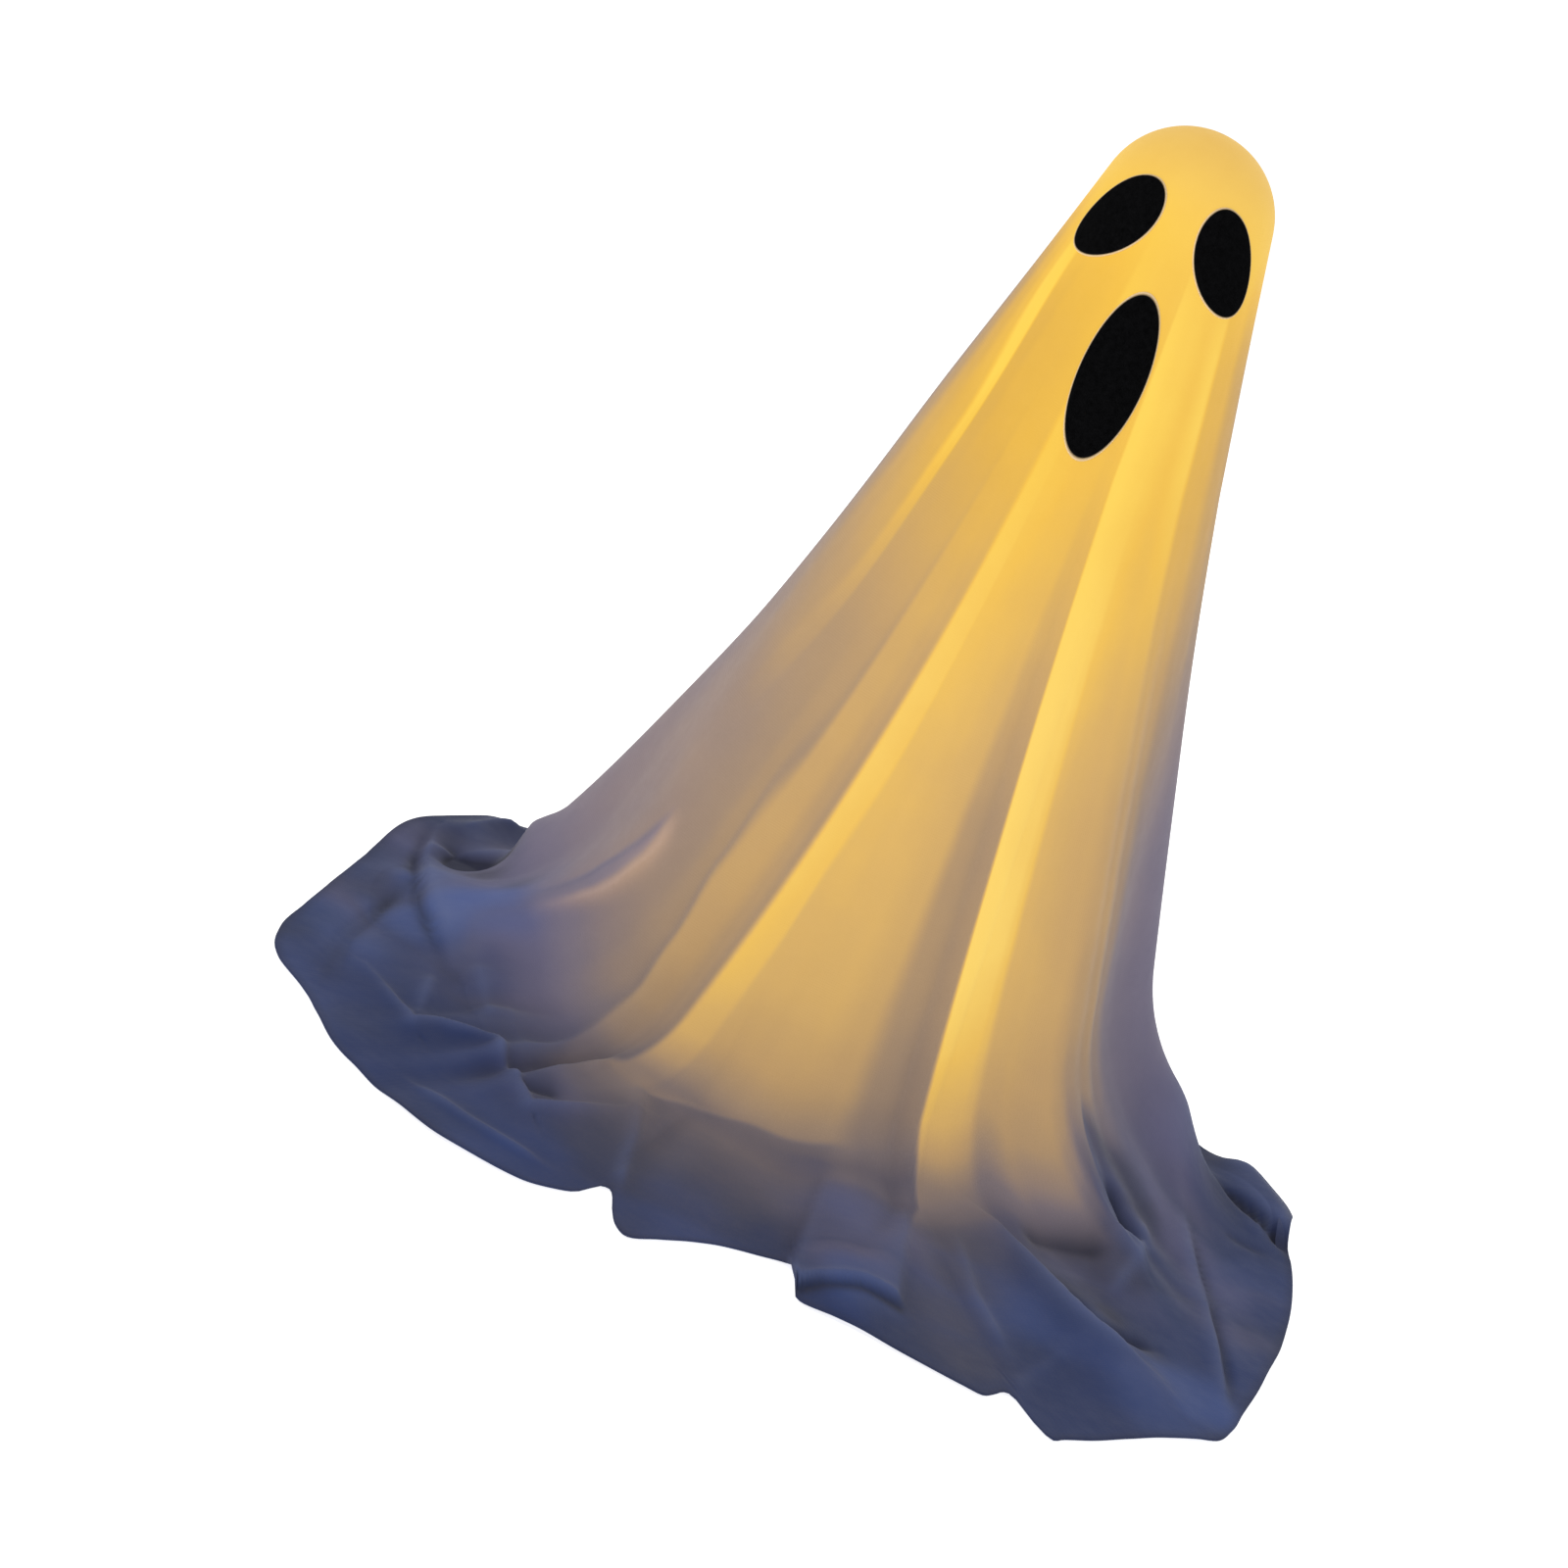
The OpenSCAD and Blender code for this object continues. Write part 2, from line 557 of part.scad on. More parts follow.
// Cable ties: bands round pole and wire, between two bulbs
module cable_ties() {
  tie_in = wind_r + wire_r + fit;
  half_step = turn_steps / bulbs_per_turn / 2;
  color("#e9e9e4") for (turn = [0, floor(wire_turns / 3), floor(wire_turns * 2 / 3)])
    ring(tie_in + 1.4, tie_in, wire_z(lead_steps + turn * turn_steps + half_step) - tie_h / 2, tie_h);
}

// Clip: an open ring that snaps on the pole, with a plate for the battery case
module pole_clip() {
  color("#2d2f33") difference() {
    union() {
      translate([0, 0, clip_z - clip_h / 2]) cylinder(r = pole_r + run + clip_wall, h = clip_h);
      box_x(clip_plate_w, case_y - clip_t, case_y, clip_z - clip_h / 2, clip_z + clip_h / 2);
      box_x(clip_mouth, pole_r, case_y - clip_t + eps, clip_z - clip_h / 2, clip_z + clip_h / 2);
    }
    translate([0, 0, clip_z - clip_h]) cylinder(r = pole_r + run, h = 2 * clip_h);
    box_x(clip_mouth, -2 * pole_r, 0, clip_z - clip_h, clip_z + clip_h);
    for (s = [-1, 1])
      translate([s * screw_x, case_y - clip_t - 1, clip_z]) rod_y(screw_r + fit, clip_t + 2);
  }
}
module clip_screws() {
  color("silver") for (s = [-1, 1]) translate([s * screw_x, case_y - clip_t, clip_z]) {
    translate([0, -screw_head_t, 0]) rod_y(screw_head_r, screw_head_t);
    translate([0, -eps, 0]) rod_y(screw_r, clip_t + case_wall - 0.5);
  }
}

// Battery case: cell bay above, open at the back for the door, and switch bay below
module battery_case() {
  back = case_y + case_d;
  color("#2d2f33") difference() {
    box_x(case_w, case_y, back, case_z, case_top);
    box_x(bay_w, case_y + case_wall, door_y + eps, bay_z, bay_z + bay_h);
    box_x(door_w + 2 * fit, door_y, door_y + groove_t, bay_z - fit, case_top + 1);
    box_x(door_w - 2 * lip_w, door_y, back + 1, bay_z - fit, case_top + 1);
    box_x(bay_w, case_y + case_wall, back - case_wall,
      case_z + case_wall, case_z + case_wall + switch_bay_h);
    box_x(knob_w + 2 * fit, back - case_wall - 1, back + 1,
      switch_z - fit, switch_z + knob_h + switch_travel + fit);
    for (s = [-1, 1]) translate([s * screw_x, case_y - 1, clip_z]) rod_y(screw_r + fit, case_wall + 0.6);
    translate([0, lead_y, bay_z + bay_h - 1]) cylinder(r = wire_r + fit, h = case_wall - 1);
  }
}

// Door: slides up in the case's grooves, with ribs for the thumb
module battery_door() {
  rib_h = 1.4;
  color("#383b40") union() {
    box_x(door_w, door_y + fit, door_y + fit + door_t, bay_z, case_top);
    for (k = [0 : 3]) box_x(door_w / 2, door_y + door_t, door_y + fit + door_t + grip_rib,
      bay_z + 6 + 3 * k * rib_h, bay_z + 6 + (3 * k + 1) * rib_h);
  }
}

// Cells: the middle one stands upside down
module battery_cell(k) {
  low = bay_z + contact_t + fit;
  body_len = cell_len - cell_nub_h;
  turned = k == 0 ? 180 : 0;
  color("#c47f2c") translate([k * (cell_d + cell_gap), case_y + case_wall + bay_d / 2, low + cell_len / 2])
    rotate([turned, 0, 0]) translate([0, 0, -cell_len / 2]) {
      cylinder(r = cell_d / 2, h = body_len);
      translate([0, 0, body_len - eps]) cylinder(r = cell_nub_r, h = cell_nub_h + eps);
    }
}
module battery_cell_left() { battery_cell(-1); }
module battery_cell_middle() { battery_cell(0); }
module battery_cell_right() { battery_cell(1); }

// Contact plates at both ends of each cell
module contact_plates() {
  side = cell_d - 3;
  mid_y = case_y + case_wall + bay_d / 2;
  color("#c9b26a") for (k = [-1 : 1]) for (z = [bay_z, bay_z + bay_h - contact_t])
    translate([k * (cell_d + cell_gap), 0, 0])
      box_x(side, mid_y - side / 2, mid_y + side / 2, z, z + contact_t);
}

// Circuit board on the wall of the switch bay
module circuit_board() {
  color("#2f6b46") box_x(bay_w - 2 * board_margin, case_y + case_wall, case_y + case_wall + board_t,
    case_z + case_wall + board_margin, case_z + case_wall + switch_bay_h - board_margin);
}

// Switch: a knob through the case's slot on a flange behind it
module switch_slider() {
  face = case_y + case_d;
  inner = face - case_wall - fit;
  color("#e4e4df") union() {
    box_x(knob_w, inner - eps, face + knob_out, switch_z, switch_z + knob_h);
    box_x(knob_w + 2 * slider_flange, inner - slider_t, inner,
      switch_z - slider_flange, switch_z + knob_h + slider_flange);
  }
}

// Sheet: one cloth from the crown over the head and down onto the floor, with its main folds
module sheet() {
  angles = [for (j = [0 : sectors - 1]) sheet_angle(j)];
  rows = len(ring_stops(0));
  grid = function(lift) concat([[sheet_point(0, 0, lift)]],
    [for (i = [0 : rows - 1]) [for (a = angles) sheet_point(a, ring_stops(a)[i], lift)]]);
  color("#e2c483") cap_solid([for (r = grid(sheet_t)) len(r) == 1 ? [for (a = angles) r[0]] : r],
    [for (r = grid(0)) len(r) == 1 ? [for (a = angles) r[0]] : r]);
}

// Felt oval on the sheet: its middle's angle and distance from the crown, size and lean
module felt_oval(mid_a, mid_s, w, h, lean) {
  rings = 3;
  points = 20;
  arm = run_point(mid_a, mid_s)[0];
  spot = function(t, q, lift)
    let (u = t * w / 2 * cos(q), v = t * h / 2 * sin(q))
    let (across = u * cos(lean) + v * sin(lean), up = v * cos(lean) - u * sin(lean))
    sheet_point(mid_a + across / arm * 180 / PI, mid_s - up, lift);
  grid = function(lift) [for (i = [0 : rings])
    [for (k = [0 : points - 1]) spot(i / rings, -360 * k / points, lift)]];
  color("#0c0c0e") cap_solid(grid(sheet_t + seat_gap + felt_t), grid(sheet_t + seat_gap));
}
module eye_left() { felt_oval(-eye_angle, eye_down, eye_w, eye_len, eye_lean); }
module eye_right() { felt_oval(eye_angle, eye_down, eye_w, eye_len, -eye_lean); }
module mouth() { felt_oval(0, mouth_down, mouth_w, mouth_len, 0); }

base_hub();
hub_pad();
leg_pins();
leg_front();
leg_rear_right();
leg_rear_left();
foot_front();
foot_rear_right();
foot_rear_left();
lower_pole();
upper_pole();
head_socket();
head_lower_shell();
head_upper_shell();
light_wire();
light_bulbs();
cable_ties();
pole_clip();
clip_screws();
battery_case();
battery_door();
battery_cell_left();
battery_cell_middle();
battery_cell_right();
contact_plates();
circuit_board();
switch_slider();
sheet();
eye_left();
eye_right();
mouth();
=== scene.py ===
import bpy
import numpy as np
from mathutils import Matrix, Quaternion, Vector


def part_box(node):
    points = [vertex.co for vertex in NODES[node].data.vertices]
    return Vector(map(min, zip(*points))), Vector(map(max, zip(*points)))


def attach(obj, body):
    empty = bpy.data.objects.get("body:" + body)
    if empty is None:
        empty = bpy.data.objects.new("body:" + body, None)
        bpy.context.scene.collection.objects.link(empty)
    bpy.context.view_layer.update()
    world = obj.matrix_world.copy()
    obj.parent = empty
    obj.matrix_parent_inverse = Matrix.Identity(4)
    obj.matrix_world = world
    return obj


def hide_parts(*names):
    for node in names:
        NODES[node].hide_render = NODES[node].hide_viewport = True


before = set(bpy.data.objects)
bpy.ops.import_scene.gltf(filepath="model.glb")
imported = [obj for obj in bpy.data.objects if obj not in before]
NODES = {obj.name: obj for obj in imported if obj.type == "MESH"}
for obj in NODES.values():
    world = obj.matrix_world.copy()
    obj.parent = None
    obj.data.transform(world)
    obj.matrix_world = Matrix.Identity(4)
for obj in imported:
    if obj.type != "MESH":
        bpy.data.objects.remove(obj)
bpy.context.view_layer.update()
# Millimetres in a metre
MM = 1000.0


# Helpers for curves and colours
def ease(x):
    """Smooth step from 0 to 1."""
    c = np.clip(x, 0.0, 1.0)
    return c * c * (3.0 - 2.0 * c)


def hump(x, middle, width):
    """Bell curve of height 1 round a middle."""
    return np.exp(-(((x - middle) / width) ** 2))


def after(x, change):
    """Share of a change that is done at x: the change has a start and a length."""
    start, length = change
    return ease((x - start) / length)


def look_up(keys, x):
    """Places and values of the (place, value) keys, and the number of the key before x."""
    place, value = np.array(keys, float).T
    return place, value, np.clip(np.searchsorted(place, x, side="right") - 1, 0, len(place) - 2)


def through(keys, x, smooth=True):
    """Value at x of the curve that goes through the (place, value) keys."""
    place, value, i = look_up(keys, x)
    t = np.clip((x - place[i]) / (place[i + 1] - place[i]), 0.0, 1.0)
    return value[i] + (value[i + 1] - value[i]) * (ease(t) if smooth else t)


def curve(keys, x):
    """Value at x of a smooth closed curve through the (angle, value) keys, with no bulges between them."""
    place, value, i = look_up(keys, x)
    step = np.diff(place)
    rise = np.diff(value) / step
    before = np.roll(rise, 1)
    same = before * rise > 0
    slope = np.where(same, 2.0 * before * rise / np.where(same, before + rise, 1.0), 0.0)
    slope = np.append(slope, slope[0])
    h = step[i]
    u = (x - place[i]) / h
    v = 1.0 - u
    ends = value[i] * v * v * (1.0 + 2.0 * u) + value[i + 1] * u * u * (3.0 - 2.0 * u)
    return ends + h * u * v * (slope[i] * v - slope[i + 1] * u)


def linear(red, green, blue):
    """Scene colour of a screen colour from 0 to 255."""
    c = np.array([red, green, blue], float) / 255.0
    return tuple(np.where(c <= 0.04045, c / 12.92, ((c + 0.055) / 1.055) ** 2.4))


def put(name, data):
    """A new object in the scene."""
    obj = bpy.data.objects.new(name, data)
    bpy.context.scene.collection.objects.link(obj)
    return obj


# Camera, fitted to the photograph: low in front, rolled so that the figure leans to the right
SENSOR_WIDTH, LENS = 36.0, 90.35
CAMERA_PLACE = Vector((0.0, -4.041, 1.471))
CAMERA_AIM = Vector((-0.136, 0.0, 0.262))
CAMERA_ROLL = np.radians(24.1)


def make_camera():
    data = bpy.data.cameras.new("camera")
    data.sensor_width = SENSOR_WIDTH
    data.lens = LENS
    cam = put("camera", data)
    cam.location = CAMERA_PLACE
    cam.rotation_mode = "QUATERNION"
    roll = Quaternion((0.0, 0.0, 1.0), CAMERA_ROLL)
    cam.rotation_quaternion = (CAMERA_AIM - CAMERA_PLACE).to_track_quat("-Z", "Y") @ roll
    bpy.context.scene.camera = cam


make_camera()

# Cloth: sizes that follow the part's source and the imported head. The way down is measured along the plain
# cloth from the crown, and an angle is in degrees round the pole from the middle of the face.
head_low, head_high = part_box("head_upper_shell")
HEAD_R = (head_high[0] - head_low[0]) / 2.0
HEAD_Z = head_high[2] - HEAD_R
# Way of the cloth over the ball, and lift of all of it, which makes room for the turned hem
OVER_HEAD, LIE = 0.0026, 0.0024
DOME_R = HEAD_R + OVER_HEAD
# Slope of the side, and the turn from there onto the floor
SIDE = np.radians(13.2)
TURN = np.pi / 2 - SIDE
# Share of the strip from the side's foot to the hem that the bend takes, in front and at the sides
SWEEP_FRONT, SWEEP_SIDE = 0.2, 0.92
# The left side stands steeper behind its heap: share less, angle, half width
STEEP, STEEP_ANGLE, STEEP_WIDE = 0.3, -97.0, 13.0
# Shares of the bend after which the cloth starts to lie on the floor, and over which it comes to
LIES_FROM, LIES_OVER = 0.3, 0.55
# Long folds: height, start, share of the rest at which they are highest, share lost from there on
FOLD_H, FOLD_START, FOLD_PEAK, FOLD_LOSS = 0.046, 0.398, 0.78, 0.88
# Power by which they grow, and what the left side adds to it
GROW, GROW_LEFT = 1.25, 1.75
# Faint folds above them: height, start and length of their growth
FAINT_H, FAINT_COMES = 0.0022, (0.2, 0.25)
# The right pleat goes flat where its flap lies on the floor: angle, half width, share lost
FLAP_PLEAT, FLAP_PLEAT_WIDE, FLAP_PLEAT_LOSS = 27.0, 14.0, 0.6
# Narrowest strip of cloth on the floor
FLAT_MIN = 0.004

DOME_END = np.array([DOME_R * np.cos(SIDE), HEAD_Z + DOME_R * np.sin(SIDE)])
DOME_LEN = DOME_R * TURN
FLOOR_R = DOME_END[0] + DOME_END[1] * np.tan(SIDE)

# Hem on the floor: angle, distance from the pole in millimetres
HEM = [
    (-180, 560), (-150, 515), (-131, 492), (-124, 476), (-118, 502), (-111, 512), (-104, 518),
    (-92, 515), (-86, 518), (-81, 526), (-72, 552), (-64.3, 587), (-57.6, 629), (-53, 651),
    (-50.5, 655), (-47.5, 654), (-45, 656), (-42, 665), (-37, 685), (-33.5, 692), (-28, 700),
    (-24, 704), (-20.8, 698), (-16, 685), (-13.3, 660), (-12.2, 643), (-11.3, 603), (-10.6, 601),
    (-9.8, 614), (-9, 637), (-7.6, 669), (-6.5, 679), (-4.2, 652), (-1.7, 622), (1, 599), (4, 585),
    (6.6, 579), (7.1, 583), (8, 643), (8.8, 653), (12, 661), (18, 689), (22, 714), (23.3, 722),
    (24.6, 713), (25.7, 704), (26.3, 706), (26.9, 758), (27.6, 777), (28.6, 771), (31.5, 761),
    (35.2, 747), (39, 738), (42.5, 736), (44.3, 738), (47.4, 722), (51, 696), (55, 673), (61.4, 642),
    (66.2, 626), (73.9, 605), (82.3, 590), (91, 578), (96, 571), (100.6, 581), (104.5, 585), (110, 570),
    (114, 540), (119, 520), (132, 510), (150, 515), (180, 560),
]
# Crests and valleys of the folds where the cloth meets the floor: angle, share of the fold height
PLEATS = [
    (-180, 0.9), (-158, 0.08), (-137, 0.8), (-117, 0.1), (-97, 1.35), (-78, 0.3), (-60, 0.5),
    (-47, 0.22), (-43, 0.12), (-40.5, 0.36), (-34, 0.02), (-27, 0.6), (-10, 0.22), (8, 0.06),
    (23.5, 0.16), (27.4, 0.86), (40, 0.3), (47, 0.3), (58, 0.92), (64, 0.55), (71, 0.2), (81, 0.1),
    (100, 1.3), (120, 0.08), (140, 0.9), (160, 0.08), (180, 0.9),
]
# How far a fold's top is turned from its foot: angle, turn
DRIFT = [
    (-180, 0), (-95, 0), (-60, 7), (-40, 13), (-27, 16.6), (-8, 16.6), (8, 2), (16, -10), (28, -10),
    (48, -12), (67, -12), (90, 0), (180, 0),
]
# How far the fold's foot is turned once it lies on the floor: angle, turn by the hem
FOOT_TURN = [(-180, 0), (0, 0), (14, -12.5), (25, -12.5), (56, 0), (180, 0)]
# How far the narrow fold left of the middle is turned besides: share of the growth, turn
LEFT_TURN = [(0, 0), (0.3, 1.2), (0.5, 2.1), (0.62, 1), (0.73, -1.2), (0.82, -2.6), (1, -7)]
# Its angle and half width
LEFT_FOLD, LEFT_FOLD_WIDE = -34.0, 4.5
# Small wrinkles that run down the cloth: waves in a turn, phase, lean in degrees a metre of cloth, height
WRINKLES = [(7, 40, 360, 0.0022), (11, 190, -540, 0.0018), (17, 300, 840, 0.001), (23, 75, -1200, 0.0006)]
# Heaps of the cloth on the floor: height, reach, and both ends, all in millimetres
HEAPS = [
    (12, 45, (-455, -75), (-340, -125)), (10, 60, (-400, -160), (-310, -300)),
    (16, 50, (300, -30), (345, -120)), (16, 55, (250, -340), (420, -490)),
    (20, 35, (560, 70), (510, 190)), (8, 30, (-445, 150), (-420, 225)),
    (13, 50, (110, -350), (135, -590)),
]
# Creases of the cloth on the floor: height, width to the left and to the right of the line, and the line
CREASES = [
    (11, 120, 5, [(-474, 127), (-464, 20), (-446, -66), (-424, -145), (-385, -240), (-356, -288)]),
    (-5, 4, 5, [(-484, 122), (-474, 16), (-455, -72), (-432, -152), (-393, -247), (-364, -296)]),
    (6, 30, 12, [(-340, -272), (-316, -318), (-294, -362)]),
    (9, 6, 17, [(-440, -340), (-415, -364), (-362, -435), (-340, -414), (-280, -398), (-218, -515),
                (-190, -492), (-124, -424)]),
    (6, 9, 16, [(-374, -305), (-366, -370), (-358, -436)]),
    (-8, 9, 9, [(-458, -100), (-473, -287), (-457, -460)]),
    (-75, 30, 30, [(-440, 74), (-395, 30), (-345, 0), (-318, -20)]),
    (7, 6, 20, [(-155, -289), (-168, -345), (-184, -402)]),
    (-7, 10, 12, [(-240, -478), (-214, -470), (-196, -462)]),
    (5, 7, 14, [(-110, -370), (-94, -363), (-35, -347), (24, -333), (70, -320)]),
    (6, 6, 11, [(-132, -352), (-114, -470), (-103, -600)]),
    (5, 8, 8, [(-330, -560), (-262, -590), (-170, -612)]),
    (11, 7, 30, [(200, -306), (222, -312), (266, -346), (314, -400), (374, -451), (446, -478)]),
    (-12, 26, 26, [(272, -304), (320, -284), (376, -274)]),
    (-9, 9, 9, [(330, -396), (375, -428), (444, -396)]),
    (10, 8, 26, [(288, -201), (327, -223), (378, -257), (404, -270)]),
    (-30, 20, 24, [(344, -172), (366, -200), (398, -224)]),
    (9, 9, 14, [(404, -150), (402, -210), (400, -266), (382, -345)]),
    (7, 6, 15, [(440, -40), (481, -184), (504, -324), (524, -470)]),
    (-6, 5, 6, [(450, -42), (491, -182), (514, -322), (534, -450)]),
    (-3, 6, 7, [(496, -18), (520, -10), (552, -2)]),
    (3, 10, 22, [(304, -640), (332, -560), (356, -490)]),
    (5, 8, 10, [(210, -360), (250, -470), (300, -560)]),
]
# Creases beside the rolls of the hem's edge, in the same form
ROLLS = [
    (6, 12, 12, [(-450, 140), (-424, 214), (-398, 250)]),
    (-14, 8, 8, [(480, 108), (500, 98), (530, 74), (576, 22)]),
]
# Steps of light along an edge of the cloth: share lost, reach to the left and to the right of the line
STEPS = [
    (0.3, 0, 130, [(-140, -380), (-94, -363), (-35, -347), (24, -333), (90, -316)]),
    (0.55, 60, 0, [(276, -160), (300, -186), (335, -212), (380, -248), (412, -266)]),
]
# Leaf-shaped fold on the left, by the way down: angle of its bright edge, width of its hollow
LEAF_ANGLE = [
    (0.9, -51.5), (0.925, -49.6), (0.95, -48.3), (0.97, -48.1), (0.996, -49.3), (1.038, -52.3),
    (1.1, -59),
]
LEAF_WIDE = [(0.9, 1.0), (0.925, 3.0), (0.955, 5.6), (0.98, 7.2), (1.013, 8.4), (1.06, 7.2)]
# Its width to the left and right of the edge in degrees, its height, and where it starts and ends
LEAF_LEFT, LEAF_RIGHT, LEAF_H, LEAF_FROM, LEAF_TO = 8.0, 2.2, 0.014, 0.905, 1.13
# The way on which it grows and runs out, and on which its painted highlight and shade come
LEAF_ENDS, LEAF_TIP = 0.1, 0.04
# Loose flap of the right pleat, in millimetres: left side, far end, and the line of its lip
FLAP_LEFT, FLAP_TOP, FLAP_LIP = 72, -325, [(84, -622), (105, -600), (143, -578), (190, -568)]
# Line of its right side: x at the far and the near end, y at the far end, length along y
FLAP_RIGHT_FAR, FLAP_RIGHT_NEAR, FLAP_FAR, FLAP_LENGTH = 158.0, 185.0, -292.0, 285.0
# Height at the far end, gain towards the near end and where, height and width of the rolled lip
FLAP_H, FLAP_GAIN, FLAP_GROWS, LIP_H, LIP_WIDE = 4.0, 4.0, (330.0, 240.0), 2.4, 11.0
# Hollow under the lip: depth, way in front of it, width, and its ends along x
LIP_HOLLOW, LIP_FRONT, LIP_HOLLOW_WIDE, LIP_HOLLOW_ENDS = 18.0, 9.0, 7.0, (80.0, 196.0)
# Painted dusk light and shade of the cloth on the ground, in the order of laying on: name, how frayed,
# screen colour, and the spots: place and reach in millimetres, share
PAINTED_DUSK_LIGHT = [
    ("lilac", 1.0, (116, 111, 140), [
        (-300, -40, 90, 0.8), (-270, -250, 70, 0.7), (130, -450, 80, 0.5), (125, -545, 45, 0.6),
        (430, -120, 60, 0.6), (330, 60, 90, 0.7), (430, 0, 60, 0.7), (490, -250, 50, 0.35),
        (-220, -450, 50, 0.6), (-490, -200, 50, 0.45), (505, -150, 60, 0.45), (520, -240, 45, 0.4),
        (-490, 55, 60, 0.5),
    ]),
    ("navy", 1.0, (38, 55, 104), [
        (-300, -480, 95, 1.0), (-370, -560, 90, 0.9), (-420, -400, 60, 0.8), (-420, -225, 40, 0.7),
        (545, 90, 50, 0.6), (-200, -610, 70, 0.6), (400, -620, 90, 0.6), (575, -160, 45, 0.9),
        (555, -330, 50, 0.8), (366, -205, 40, 0.4), (480, 30, 45, 0.4), (-330, -300, 40, 0.6),
        (130, -640, 40, 0.9),
    ]),
    ("blue", 1.0, (76, 101, 166), [
        (-385, -165, 66, 1.0), (-490, -260, 60, 0.35), (-330, -205, 45, 0.5), (-250, -600, 60, 0.15),
        (485, -450, 60, 0.6), (250, -470, 70, 0.3), (470, -540, 60, 0.25), (150, -590, 40, 0.45),
        (-455, -90, 40, 0.4), (115, -420, 60, 0.34),
    ]),
    ("grey", 0.35, (82, 79, 88), [
        (222, -385, 42, 0.7), (228, -455, 46, 0.8), (232, -530, 50, 0.8), (262, -590, 50, 0.6),
    ]),
    ("dusk", 0.35, (50, 52, 70), [
        (338, -146, 30, 0.7), (365, -137, 34, 0.9), (392, -146, 32, 0.9), (296, -304, 32, 0.35),
        (338, -292, 36, 0.6), (376, -300, 38, 0.75), (344, -388, 30, 0.8), (392, -396, 30, 1.0),
        (434, -408, 28, 0.8), (366, -360, 34, 0.6), (-222, -452, 30, 0.7), (-392, -50, 24, 0.7),
        (-346, -112, 22, 0.6), (480, 60, 36, 0.25),
    ]),
]
# Creases of the unseen back: seed, angles, and spans of the distances from the pole at both ends
REAR_SEED, REAR_ANGLES, REAR_INNER, REAR_OUTER = 11, np.arange(122.0, 245.0, 8.5), (345, 390), (450, 500)
# Spans of their bend and shift in degrees, and of their height and width in millimetres
REAR_BEND, REAR_SHIFT, REAR_HEIGHT, REAR_WIDTH = (-9.0, 9.0), (-3.0, 3.0), (9.0, 22.0), (10, 34)


def rear_creases():
    """Creases of the unseen back: fanned out from the foot of the folds."""
    chance = np.random.default_rng(REAR_SEED)
    lines = []
    for middle in REAR_ANGLES:
        bend = chance.uniform(*REAR_BEND)
        a = middle + chance.uniform(*REAR_SHIFT)
        inner = chance.uniform(*REAR_INNER)
        outer = chance.uniform(*REAR_OUTER)
        line = []
        for k in range(4):
            r = inner + (outer - inner) * k / 3.0
            q = np.radians(a + bend * k / 3.0)
            line.append((r * np.sin(q), -r * np.cos(q)))
        # About three in ten are grooves, and shallower
        height = chance.uniform(*REAR_HEIGHT) * (1 if chance.uniform() < 0.7 else -0.6)
        lines.append((height, chance.uniform(*REAR_WIDTH), chance.uniform(*REAR_WIDTH), line))
    return lines


CREASES += rear_creases()


def smoothed(values, degrees):
    """A ring of values smoothed over about that many degrees."""
    n = len(values)
    d = (np.arange(n) - n // 2) * 360.0 / n
    w = hump(d, 0.0, degrees)
    spectrum = np.fft.fft(values) * np.fft.fft(np.fft.ifftshift(w / w.sum()))
    return np.real(np.fft.ifft(spectrum))


# Rings of values round the pole: angle, hem, and how far the bend reaches before and after the side's foot
RING = np.linspace(-180.0, 180.0, 1440, endpoint=False)
RING_HEM = curve(HEM, RING) / MM
RING_SWEEP = SWEEP_FRONT + (SWEEP_SIDE - SWEEP_FRONT) * np.sin(np.radians(RING)) ** 4
RING_SWEEP = RING_SWEEP - STEEP * hump(RING, STEEP_ANGLE, STEEP_WIDE)
RING_SWEEP = RING_SWEEP * (smoothed(RING_HEM, 9.0) - FLOOR_R)


def around(ring, angle):
    """Value of a ring table at an angle in degrees."""
    return np.interp(angle, RING, ring, period=360.0)


